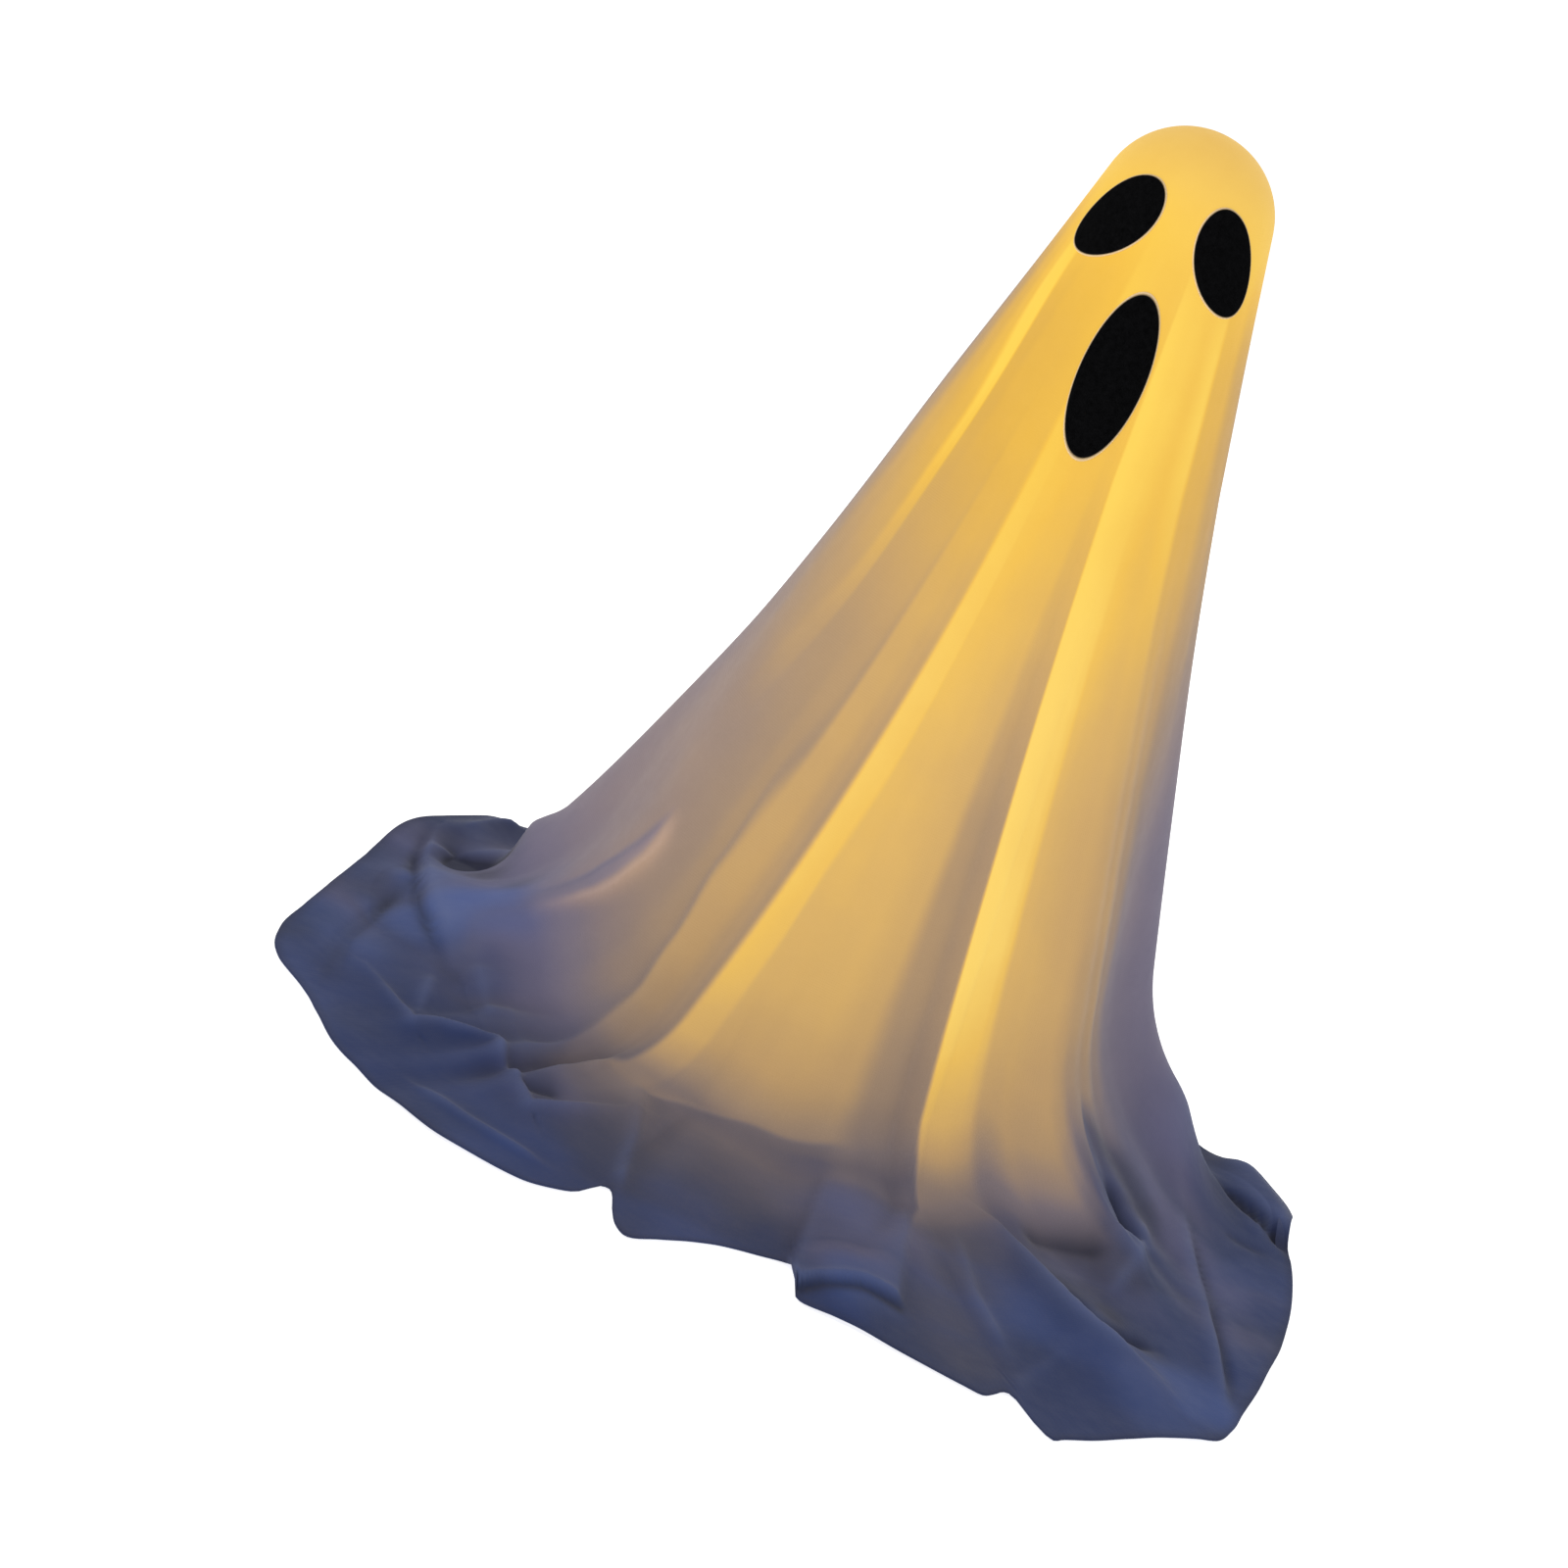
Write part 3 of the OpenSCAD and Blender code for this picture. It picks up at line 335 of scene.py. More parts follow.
class Run:
    """Lengths of the cloth down from the crown at given angles."""

    def __init__(self, angle):
        self.angle = angle
        self.hem = around(RING_HEM, angle)
        self.tangent = around(RING_SWEEP, angle)
        self.radius = self.tangent / np.tan(TURN / 2)
        self.cone = DOME_END[1] / np.cos(SIDE) - self.tangent
        self.sweep = self.radius * TURN
        self.flat = np.maximum(self.hem - FLOOR_R - self.tangent, FLAT_MIN)
        self.down = DOME_LEN + self.cone + self.sweep + self.flat

    def base(self, s):
        """Radius, height and lift of the normal on the plain body of revolution."""
        c = s - DOME_LEN
        w = c - self.cone
        h = w - self.sweep
        lat = np.pi / 2 - s / DOME_R
        lift = SIDE + np.clip(w / self.radius, 0.0, TURN)
        end = FLOOR_R + self.tangent
        parts = [c <= 0, w <= 0, h <= 0]
        dome_r, side_r = DOME_R * np.cos(lat), DOME_END[0] + c * np.sin(SIDE)
        dome_z, side_z = HEAD_Z + DOME_R * np.sin(lat), DOME_END[1] - c * np.cos(SIDE)
        r = np.select(parts, [dome_r, side_r, end - self.radius * np.cos(lift)], end + h)
        z = np.select(parts, [dome_z, side_z, self.radius * (1.0 - np.sin(lift))], 0.0)
        n = np.select(parts, [lat, SIDE + 0.0 * c, lift], np.pi / 2)
        return r, z, n

    def fold_place(self, s):
        """Shares of the way down and of the fold's growth, and the angle on the fold's own scale."""
        u = np.clip((s - FOLD_START) / (self.down - FOLD_START), 0.0, 1.0)
        m = np.minimum(u / FOLD_PEAK, 1.0)
        # Folds left of the middle turn later
        power = 1.0 + 0.9 * ease((5.0 - self.angle) / 10.0)
        past = s - DOME_LEN - self.cone - 0.8 * self.sweep
        lain = np.clip(past / (0.2 * self.sweep + self.flat), 0.0, 1.0)
        own = self.angle - through(DRIFT, self.angle) * (1.0 - m**power)
        own = own - through(FOOT_TURN, self.angle) * lain * (2.0 - lain)
        own = own + through(LEFT_TURN, m) * hump(self.angle, LEFT_FOLD, LEFT_FOLD_WIDE)
        own = (own + 180.0) % 360.0 - 180.0
        return u, m, own

    def folds(self, s):
        """Height of the long folds and wrinkles over the plain body."""
        u, m, own = self.fold_place(s)
        kept = 1.0 - FOLD_LOSS * ease((u - FOLD_PEAK + 0.04) / (1.0 - FOLD_PEAK))
        under_flap = np.exp(-(((own - FLAP_PLEAT) / FLAP_PLEAT_WIDE) ** 4))
        shape = through(PLEATS, own) * (1.0 - FLAP_PLEAT_LOSS * self.lies(s) * under_flap)
        grow = GROW + GROW_LEFT * np.maximum(-np.sin(np.radians(self.angle)), 0.0) ** 4
        out = FOLD_H * m**grow * kept * shape + LEAF_H * self.leaf(s)
        out = out + FAINT_H * after(s, FAINT_COMES) * (1.0 - m) * shape
        for waves, phase, lean, height in WRINKLES:
            wave = np.sin(np.radians(waves * own + phase + lean * s))
            out = out + height * m * (0.1 + 0.9 * kept) * wave
        return out

    def leaf(self, s):
        """Share of the leaf-shaped fold's height."""
        d = self.angle - through(LEAF_ANGLE, s, smooth=False)
        along = ease((s - LEAF_FROM) / LEAF_ENDS) * ease((LEAF_TO - s) / LEAF_ENDS)
        return along * np.exp(-np.abs(d) / np.where(d < 0, LEAF_LEFT, LEAF_RIGHT))

    def leaf_light_and_shade(self, s):
        """Shares of the leaf's painted highlight on its edge, painted shade in its hollow and on its far
        line, with widths in degrees.
        """
        d = self.angle - through(LEAF_ANGLE, s, smooth=False)
        wide = through(LEAF_WIDE, s, smooth=False)
        along = ease((s - LEAF_FROM) / LEAF_TIP) * ease((LEAF_TO - s) / LEAF_ENDS)
        edge = along * hump(d, -1.1, 2.1)
        hollow = along * ease((-d - 1.5) / 2.5) * ease((d + wide + 0.5) / 1.5)
        line = along * hump(d, -wide, 1.1)
        return edge, hollow, line

    def lies(self, s):
        """How far the cloth lies on the floor, from 0 on the side to 1."""
        return ease((s - DOME_LEN - self.cone - LIES_FROM * self.sweep) / (LIES_OVER * self.sweep))


def to_line(x, y, line):
    """Distance to a line of points, its side (positive to the left) and the way along it."""
    best = np.full(x.shape, 1e9)
    side = np.zeros(x.shape)
    along = np.zeros(x.shape)
    steps = [np.hypot(q[0] - p[0], q[1] - p[1]) for p, q in zip(line, line[1:])]
    done = 0.0
    for (px, py), (qx, qy), step in zip(line, line[1:], steps):
        dx, dy = (qx - px) / step, (qy - py) / step
        t = np.clip((x - px) * dx + (y - py) * dy, 0.0, step)
        ex, ey = x - px - t * dx, y - py - t * dy
        d = np.hypot(ex, ey)
        near = d < best
        best = np.where(near, d, best)
        side = np.where(near, dx * ey - dy * ex, side)
        along = np.where(near, (done + t) / sum(steps), along)
        done += step
    return best, side, along


# Ridges: rounding of the top, share of the line that an end takes, share of the height left there
RIDGE_ROUND, RIDGE_END, RIDGE_LEFT = 5.0, 0.22, 0.2
# Steps of light: share of the line that an end takes, width of the edge in millimetres
STEP_END, STEP_EDGE = 0.15, 7.0


def ridge(x, y, height, left, right, line):
    """Height of a ridge or groove along a line, rounded at its top."""
    d, side, along = to_line(x, y, line)
    width = np.where(side > 0, left, right)
    ends = ease(along / RIDGE_END) * ease((1.0 - along) / RIDGE_END)
    fall = np.exp(-(np.hypot(d, RIDGE_ROUND) - RIDGE_ROUND) / (0.7 * width))
    return height * (RIDGE_LEFT + (1.0 - RIDGE_LEFT) * ends) * fall


def flap(x, y):
    """Height of the loose flap at a floor place in millimetres, and the hollow under its lip."""
    right = FLAP_RIGHT_FAR + (FLAP_RIGHT_NEAR - FLAP_RIGHT_FAR) * (FLAP_FAR - y) / FLAP_LENGTH
    d, side, along = to_line(x, y, FLAP_LIP)
    behind = np.where(side > 0, d, -d)
    # Soft sides, a few millimetres wide, and a far end that rises slowly
    inside = ease((x - FLAP_LEFT + 4.0) / 11.0) * ease((right + 8.0 - x) / 16.0)
    inside = inside * ease((FLAP_TOP - y) / 60.0) * ease((behind + 5.0) / 10.0)
    up = inside * (FLAP_H + FLAP_GAIN * after(-y, FLAP_GROWS) + LIP_H * hump(d, 0.0, LIP_WIDE))
    start, end = LIP_HOLLOW_ENDS
    under = hump(behind, -LIP_FRONT, LIP_HOLLOW_WIDE) * ease((x - start) / 10.0) * ease((end - x) / 10.0)
    return up, LIP_HOLLOW * under


def rumple(x, y, from_hem):
    """Height of the creases and heaps at a floor place in metres, and how deep the hollows are."""
    x, y = x * MM, y * MM
    up = np.zeros(x.shape)
    deep = np.zeros(x.shape)
    for height, reach, start, end in HEAPS:
        up += height * hump(to_line(x, y, [start, end])[0], 0.0, reach)
    # Creases run out towards the hem
    edge = 0.2 + 0.8 * ease(from_hem / 0.04)
    for group, share in ((CREASES, edge), (ROLLS, 1.0)):
        for height, left, right, line in group:
            here = ridge(x, y, height, left, right, line) * share
            up += here
            deep += np.maximum(-here, 0.0)
    flap_up, flap_deep = flap(x, y)
    return (up + flap_up) / MM, (deep + flap_deep) / MM


def stepped(x, y):
    """Share of the light left beside the steps at a floor place in metres."""
    x, y = x * MM, y * MM
    left_over = np.ones(x.shape)
    for share, left, right, line in STEPS:
        d, side, along = to_line(x, y, line)
        reach = np.where(side > 0, left, right)
        ends = ease(along / STEP_END) * ease((1.0 - along) / STEP_END)
        lost = share * ends * ease(d / STEP_EDGE) * hump(d, 0.0, np.maximum(reach, 1.0))
        left_over = left_over * (1.0 - np.where(reach > 0, lost, 0.0))
    return left_over


def spotted(x, y, spots, fray):
    """Share of one tint of painted dusk light and shade at a floor place in metres, with frayed soft spots.
    """
    x, y = x * MM, y * MM
    x = x + fray * (14.0 * np.sin(y / 31.0 + 1.3) + 9.0 * np.sin(x / 17.0 + y / 23.0))
    y = y + fray * (16.0 * np.sin(x / 37.0 + 0.4) + 8.0 * np.sin(y / 19.0 - x / 29.0))
    total = np.zeros(x.shape)
    for px, py, reach, share in spots:
        total = np.maximum(total, share * np.exp(-(((x - px) ** 2 + (y - py) ** 2) / reach**2) ** 1.4))
    return total


def cloth_point(run, s, over=0.0):
    """Points of the cloth's outer face, their height over the plain body, and how deep the hollows are."""
    r, z, n = run.base(s)
    out = run.folds(s)
    a = np.radians(run.angle)
    x, y = (r + out * np.cos(n)) * np.sin(a), -(r + out * np.cos(n)) * np.cos(a)
    up, deep = rumple(x, y, run.down - s)
    up = np.maximum(up * run.lies(s), -(z + out * np.sin(n)))
    z = z + (out + over) * np.sin(n) + up + LIE
    r = r + (out + over) * np.cos(n)
    return np.stack([r * np.sin(a), -r * np.cos(a), z], -1), out + up, deep * run.lies(s)


# Light that shows through the cloth: share by the angle beside the face, and by the fold's own at the floor
GLOW_HIGH = [
    (-180, 0.88), (-168, 0.84), (-160, 0.97), (-150, 0.92), (-142, 0.82), (-134, 0.9), (-120, 0.76),
    (-100, 0.6), (-88, 0.5), (-78, 0.6), (-67, 0.78), (-60, 0.87), (-56, 1.02), (-51, 1.0),
    (-47.5, 0.81), (-41, 0.805), (-36, 0.83), (-25, 0.84), (-14, 0.87), (-10.5, 0.95), (-3, 0.93),
    (4, 0.9), (12, 0.89), (16.5, 0.9), (18.2, 1.0), (28, 0.96), (38, 0.92), (48, 0.98), (52, 0.84),
    (62, 0.84), (76, 0.72), (86, 0.66), (100, 0.66), (120, 0.76), (132, 0.84), (138, 0.95), (146, 0.9),
    (154, 0.82), (165, 0.86), (171, 0.97), (180, 0.88),
]
GLOW_LOW = [
    (-180, 0.74), (-171, 0.62), (-164, 0.66), (-159, 0.94), (-152, 0.86), (-144, 0.68), (-139, 0.6),
    (-135, 0.8), (-129, 0.62), (-122, 0.46), (-97, 0.4), (-75, 0.45), (-62, 0.48), (-50, 0.5),
    (-43.5, 0.54), (-42, 0.5), (-40, 0.67), (-36, 0.68), (-32, 0.62), (-29, 0.56), (-27, 0.93),
    (-22, 0.91), (-20.6, 0.83), (0, 0.8), (10, 0.74), (19, 0.57), (26.7, 0.52), (27.5, 1.0), (36, 0.97),
    (38, 0.93), (40.5, 0.8), (45, 0.76), (53, 0.69), (58, 0.63), (64, 0.6), (71, 0.5), (78, 0.37),
    (97, 0.29), (120, 0.42), (132, 0.5), (138, 0.58), (141, 0.88), (147, 0.8), (155, 0.62), (162, 0.56),
    (168, 0.64), (171, 0.94), (176, 0.86), (180, 0.74),
]
# The keys beside the face are brought to the fold's own scale too
DRIFT_SHARE = 0.98
GLOW_HIGH = [(angle - DRIFT_SHARE * through(DRIFT, angle), share) for angle, share in GLOW_HIGH]
# Share by the way past the bend onto the floor, in metres, and how much further it reaches at an angle
GLOW_DOWN = [
    (-0.28, 1.0), (-0.16, 0.92), (-0.09, 0.8), (-0.045, 0.62), (-0.01, 0.42), (0.03, 0.26),
    (0.08, 0.14), (0.16, 0.05), (0.26, 0.0),
]
GLOW_REACH = [
    (-180, 0), (-58, 0), (-42, 0.022), (-26, 0.018), (-16, 0.006), (-8, 0.012), (12, 0.005),
    (20, -0.001), (27, 0.006), (33, 0.011), (37, 0.004), (41, -0.014), (48, 0.03), (53.5, 0.056),
    (55.2, 0.03), (57.5, -0.03), (64, -0.01), (80, 0), (180, 0),
]
# Faint light on the floor past the bend, by the fold's own angle
GLOW_TAIL = [
    (-180, 0), (-42, 0), (-34, 0.1), (-20, 0.13), (12, 0.1), (24, 0.08), (34, 0.03), (60, 0.02),
    (75, 0), (180, 0),
]
# The way past the bend is counted from this share of the bend, and this far on
GLOW_BEND, GLOW_PAST = 0.45, 0.022
# Even light of the crown, what the top has less, and the light of the crown's middle point
CROWN_GLOW, TOP_LESS, TOP_GLOW = 0.95, 0.05, 0.76
# Changes, by start and length on the way down: the top's loss ends, the crown's light gives way to that
# beside the face, this to the light at the floor, and gold comes and goes
TOP_TO_CROWN, CROWN_TO_FACE, FACE_TO_FLOOR = (0.0, 0.16), (0.13, 0.17), (0.3, 0.56)
GOLD_COMES, GOLD_GOES = (0.05, 0.12), (0.36, 0.36)
# On the way past the bend, the faint light comes and goes
TAIL_COMES, TAIL_GOES = (-0.02, 0.05), (0.05, 0.22)
# The upper left streak bends towards the middle below the eye: angle, half width, turn, and where
STREAK, STREAK_WIDE, STREAK_TURN = -52.0, 10.0, 6.0
STREAK_BENDS, STREAK_ENDS = (0.22, 0.2), (0.55, 0.25)


def glow(run, s):
    """Light that shows through the cloth, from 0 to 1, and how golden it is."""
    u, m, own = run.fold_place(s)
    bend = after(s, STREAK_BENDS) * (1.0 - after(s, STREAK_ENDS))
    own = own - STREAK_TURN * bend * hump(run.angle, STREAK, STREAK_WIDE)
    face = after(s, CROWN_TO_FACE)
    low = after(s, FACE_TO_FLOOR)
    share = CROWN_GLOW * (1.0 - face) + through(GLOW_HIGH, own) * face
    share = share * (1.0 - low) + through(GLOW_LOW, own) * low
    share = share * (1.0 - TOP_LESS * (1.0 - after(s, TOP_TO_CROWN)))
    past = s - (DOME_LEN + run.cone + GLOW_BEND * run.sweep) - GLOW_PAST - through(GLOW_REACH, own)
    tail = through(GLOW_TAIL, own) * after(past, TAIL_COMES) * (1.0 - after(past, TAIL_GOES))
    golden = after(s, GOLD_COMES) * (1.0 - after(s, GOLD_GOES))
    # The painted light is more golden on the left side
    golden = golden * (0.7 + 0.3 * ease((20.0 - run.angle) / 50.0))
    return share * through(GLOW_DOWN, past, smooth=False) + tail, golden


def blurred(grid, rows, cols):
    """A grid, closed along its second way, blurred over about so many rows and columns."""
    for axis, width in ((0, rows), (1, cols)):
        reach = np.arange(-2 * width, 2 * width + 1)
        weight = hump(reach, 0.0, width)
        weight = weight / weight.sum()
        pad = [(0, 0), (0, 0)]
        pad[axis] = (2 * width, 2 * width)
        wide = np.pad(grid, pad, mode="wrap" if axis else "edge")
        size = grid.shape[axis]
        grid = sum(w * np.take(wide, np.arange(k, k + size), axis) for k, w in enumerate(weight))
    return grid


# Meshes
def new_mesh(name, points, rings, count):
    """Smooth mesh of a fan round point 0 and of closed rings of so many points round it."""
    faces = [(0, 1 + k, 1 + (k + 1) % count) for k in range(count)]
    for i in range(rings - 1):
        for k in range(count):
            a = 1 + i * count + k
            b = 1 + i * count + (k + 1) % count
            faces.append((a, a + count, b + count, b))
    mesh = bpy.data.meshes.new(name)
    mesh.from_pydata([tuple(p) for p in points], [], faces)
    mesh.validate()
    for polygon in mesh.polygons:
        polygon.use_smooth = True
    return put(name, mesh)


def add_share(mesh, name, values):
    data = mesh.attributes.new(name, "FLOAT", "POINT")
    data.data.foreach_set("value", np.asarray(values, np.float32))


# Columns of the cloth's mesh, and its rows on the dome, the side, the bend and the floor
COLS = 600
DOME_ROWS, SIDE_ROWS, BEND_ROWS, FLOOR_ROWS = 26, 88, 48, 72
# The hem is turned under and back on itself: way inwards, way down, and cloth used
TURNED_HEM = [
    (-0.0007, 0.0006, 0.001), (-0.0004, 0.0013, 0.002), (0.002, 0.0017, 0.004), (0.014, 0.0017, 0.016),
]
# Distance from the pole at which threads round the figure have their true spacing
THREAD_R = 0.3
# Crests: rows and columns of the blur that they stand out from, full height, share of light gained
BLUR_ROWS, BLUR_COLS, CREST_FULL, CREST_LIGHT = 5, 6, 0.008, 0.07
# Painted shade of hollows, what lying on the floor adds, and painted shade of grooves by the metre of depth
HOLLOW, HOLLOW_LYING, GROOVE = 0.15, 0.5, 30.0
# Light that the leaf-shaped fold gains on its edge, and loses in its hollow and on its line
LEAF_GAIN, LEAF_LOSS, LINE_LOSS = 0.04, 0.06, 0.09
# Cool sides: reach from their middles, softness, and what the right fold has less, with its angle and width
SIDE_REACH, SIDE_SOFT, COOL_LESS, COOL_LESS_AT, COOL_LESS_WIDE = 62.0, 34.0, 0.8, 62.0, 13.0
# Start and length in the glow: the sides' painted cool light comes and goes, and the ground's painted dusk
# light and shade go
COOL_COMES, COOL_GOES, PAINTED_DUSK_GOES = (0.02, 0.1), (0.3, 0.3), (0.16, 0.26)


def rows_down(run):
    """Ways down of the mesh's rows."""
    parts = ((DOME_LEN, DOME_ROWS), (run.cone, SIDE_ROWS), (run.sweep, BEND_ROWS), (run.flat, FLOOR_ROWS))
    rows = []
    start = 0.0 * run.angle
    for length, count in parts:
        for i in range(1, count + 1):
            rows.append(start + length * i / count)
        start = start + length
    return np.array(rows)


def shade_sheet(mesh, run, s, points, height, deep):
    """Shares on the cloth's points that its material reads: painted light, painted dusk light and shade,
    crests and hollows.
    """
    x, y = points[..., 0], points[..., 1]
    light, golden = glow(run, s)
    # Crests catch light and hollows lose it
    relief = (height - blurred(height, BLUR_ROWS, BLUR_COLS)) / CREST_FULL
    light = light * (1.0 + CREST_LIGHT * np.clip(relief, -1.0, 1.0))
    pale, hollow, line = run.leaf_light_and_shade(s)
    light = light * stepped(x, y) + LEAF_GAIN * pale - LEAF_LOSS * hollow - LINE_LOSS * line
    # Cooler at the sides, where little light comes through, but less so on the right fold
    side = ease((SIDE_REACH - np.abs(np.abs(run.angle) - 90.0)) / SIDE_SOFT)
    side = side * (1.0 - COOL_LESS * hump(run.angle, COOL_LESS_AT, COOL_LESS_WIDE))
    cool = side * (1.0 - after(light, COOL_GOES)) * after(light, COOL_COMES)
    hollows = np.clip(-relief, 0.0, 1.0) * (HOLLOW + HOLLOW_LYING * run.lies(s)) + deep * GROOVE
    # Name, values, and the value at the top
    shares = [
        ("glow", light, TOP_GLOW), ("golden", golden, 0.0), ("cool", np.maximum(cool, hollow), 0.0),
        ("pale", pale, 0.0), ("deep", hollows, 0.0), ("crest", np.clip(relief, 0.0, 1.0), 0.0),
        ("from_hem", run.down - s, 1.0),
    ]
    dim = 1.0 - after(light, PAINTED_DUSK_GOES)
    for tint, fray, colour, spots in PAINTED_DUSK_LIGHT:
        shares.append((tint, spotted(x, y, spots, fray) * dim, 0.0))
    for name, values, top in shares:
        turned = np.tile(values[-1], len(TURNED_HEM))
        add_share(mesh, name, np.concatenate([[top], values.ravel(), turned]))


def map_threads(mesh, angle, s):
    """Thread directions: round the figure and down it, in metres."""
    past = np.array([[used] for back, drop, used in TURNED_HEM])
    down = np.concatenate([s, s[-1] + past], 0)
    corner = np.zeros(len(mesh.loops), int)
    mesh.loops.foreach_get("vertex_index", corner)
    row = np.maximum(corner - 1, 0) // COLS
    col = np.maximum(corner - 1, 0) % COLS
    u = np.radians(angle)[col] * THREAD_R
    # The last panels close the ring, so their far side counts one turn on
    totals = np.zeros(len(mesh.polygons), int)
    mesh.polygons.foreach_get("loop_total", totals)
    panel = np.repeat(np.arange(len(totals)), totals) % COLS
    u = np.where((panel >= COLS - 2) & (col == 0), u + 2 * np.pi * THREAD_R, u)
    uv = mesh.uv_layers.new(name="threads")
    uv.data.foreach_set("uv", np.stack([u, down[row, col]], -1).ravel().astype(np.float32))


def make_sheet():
    # Columns stand closer in front, where the folds are seen best
    dense = np.cumsum(1.0 + 1.3 * np.exp(-((RING / 75.0) ** 4)))
    angle = np.interp(np.arange(COLS) / COLS, (dense - dense[0]) / dense[-1], RING)
    run = Run(angle)
    s = rows_down(run)
    points, height, deep = cloth_point(run, s)
    a = np.radians(angle)
    inward = -np.stack([np.sin(a), -np.cos(a), 0.0 * a], -1)
    turned = [points[-1] + inward * back - np.array([0.0, 0.0, drop]) for back, drop, used in TURNED_HEM]
    grid = np.concatenate([points, np.array(turned)], 0)
    crown = np.array([[0.0, 0.0, HEAD_Z + DOME_R + LIE]])
    obj = new_mesh("sheet_cloth", np.concatenate([crown, grid.reshape(-1, 3)], 0), len(grid), COLS)
    shade_sheet(obj.data, run, s, points, height, deep)
    map_threads(obj.data, angle, s)
    return obj


# Felt ovals: node, angle, way down, width, length, lean in degrees, and share by which the top is broader
FACE = [
    ("eye_left", -37.0, 0.1612, 0.072, 0.113, 29.4, 0.0),
    ("eye_right", 35.0, 0.1612, 0.071, 0.113, -25.8, 0.0),
    ("mouth", 0.6, 0.3068, 0.070, 0.1815, -0.8, 0.13),
]
# Points of a ring and rings of the flat part, how far that part reaches, and the felt's thickness
OVAL_POINTS, OVAL_RINGS, OVAL_FLAT, FELT = 120, 26, 0.975, 0.0018
# Soft edge: share of the oval's size, height over the cloth
OVAL_EDGE = [(0.988, 0.0017), (0.996, 0.0013), (1.0, 0.0007), (1.0, -0.0002)]


def make_oval(name, middle, down, width, length, lean, broad):
    """Felt oval on the cloth: a thin soft-edged pad that follows the cloth's face."""
    lean = np.radians(lean)
    arm = Run(np.array([middle])).base(np.array([down]))[0][0]
    rings = [(t, FELT) for t in np.linspace(0.0, OVAL_FLAT, OVAL_RINGS)[1:]] + OVAL_EDGE
    q = np.radians(np.arange(OVAL_POINTS) * 360.0 / OVAL_POINTS)

    def spot(t, q, lift):
        u, v = t * width / 2 * np.cos(q), t * length / 2 * np.sin(q)
        u = u * (1.0 + broad * t * np.sin(q))
        across = u * np.cos(lean) + v * np.sin(lean)
        up = v * np.cos(lean) - u * np.sin(lean)
        run = Run(middle + np.degrees(across / arm))
        return cloth_point(run, down - up, lift)[0]

    verts = [spot(np.zeros(1), np.zeros(1), FELT)]
    for t, lift in rings:
        verts.append(spot(t, q, lift))
    obj = new_mesh(name, np.concatenate(verts, 0), len(rings), OVAL_POINTS)
    edge = np.concatenate([[0.0]] + [np.full(OVAL_POINTS, t) for t, lift in rings])
    add_share(obj.data, "edge", edge)
    return obj


# Materials
def nodes_of(name):
    material = bpy.data.materials.new(name)
    material.use_nodes = True
    tree = material.node_tree
    return material, tree, tree.nodes["Principled BSDF"]


def add(tree, kind, **settings):
    node = tree.nodes.new(kind)
    for key, value in settings.items():
        if key in node.inputs.keys():
            node.inputs[key].default_value = value
        else:
            setattr(node, key, value)
    return node


def attribute(tree, name):
    return add(tree, "ShaderNodeAttribute", attribute_name=name).outputs["Fac"]


def ramp(tree, source, stops):
    """Colour by a share: stops of place and colour."""
    node = tree.nodes.new("ShaderNodeValToRGB")
    items = node.color_ramp.elements
    while len(items) < len(stops):
        items.new(0.5)
    for item, (place, colour) in zip(items, stops):
        item.position = place
        item.color = (*colour, 1.0)
    tree.links.new(source, node.inputs["Fac"])
    return node.outputs["Color"]


def fade(tree, source, *stops):
    """Share by another share: stops of place and share."""
    return ramp(tree, source, [(place, (share,) * 3) for place, share in stops])


def sums(tree, kind, a, b):
    node = tree.nodes.new("ShaderNodeMath")
    node.operation = kind
    for socket, value in zip(node.inputs, (a, b)):
        if isinstance(value, (int, float)):
            socket.default_value = value
        else:
            tree.links.new(value, socket)
    return node.outputs[0]


def times(tree, a, b):
    return sums(tree, "MULTIPLY", a, b)


def blend(tree, share, a, b):
    """Colour a, with a share of colour b laid over it."""
    node = tree.nodes.new("ShaderNodeMix")
    node.data_type = "RGBA"
    sockets = [node.inputs[0], node.inputs[6], node.inputs[7]]
    for socket, value in zip(sockets, (share, a, b)):
        if isinstance(value, tuple):
            socket.default_value = (*value, 1.0)
        else:
            tree.links.new(value, socket)
    return node.outputs[2]


def noise(tree, scale, detail=3.0, stretch=None):
    node = add(tree, "ShaderNodeTexNoise", Scale=scale, Detail=detail)
    place = add(tree, "ShaderNodeTexCoord").outputs["Object"]
    if stretch:
        mapping = add(tree, "ShaderNodeMapping", Scale=stretch)
        tree.links.new(place, mapping.inputs["Vector"])
        place = mapping.outputs["Vector"]
    tree.links.new(place, node.inputs["Vector"])
    return node.outputs["Fac"]


def roughen(tree, bsdf, source, low, high):
    """Roughness between two values, by a share."""
    tree.links.new(fade(tree, source, (0.3, low), (0.7, high)), bsdf.inputs["Roughness"])


def bump(tree, bsdf, height, strength, distance):
    node = add(tree, "ShaderNodeBump", Strength=strength, Distance=distance)
    tree.links.new(height, node.inputs["Height"])
    tree.links.new(node.outputs["Normal"], bsdf.inputs["Normal"])


# Painted light of the cloth, from the dusk-blue hem to the brightest streak of inner light: glow, screen
# colour, share of own light
CLOTH_SHADES = [
    (0.0, (51, 61, 96), 0.0), (0.1, (75, 77, 99), 0.02), (0.2, (100, 95, 107), 0.08),
    (0.33, (130, 117, 116), 0.25), (0.5, (165, 139, 114), 0.45), (0.65, (196, 159, 109), 0.58),
    (0.8, (222, 179, 104), 0.66), (0.9, (242, 195, 94), 0.72), (1.0, (255, 215, 108), 0.8),
]
# The same for the painted golden light on the cloth of the face
GOLD_SHADES = [
    (0.6, (196, 152, 74), 0.58), (0.8, (226, 176, 70), 0.68), (0.9, (244, 192, 66), 0.74),
    (1.0, (255, 212, 78), 0.82),
]
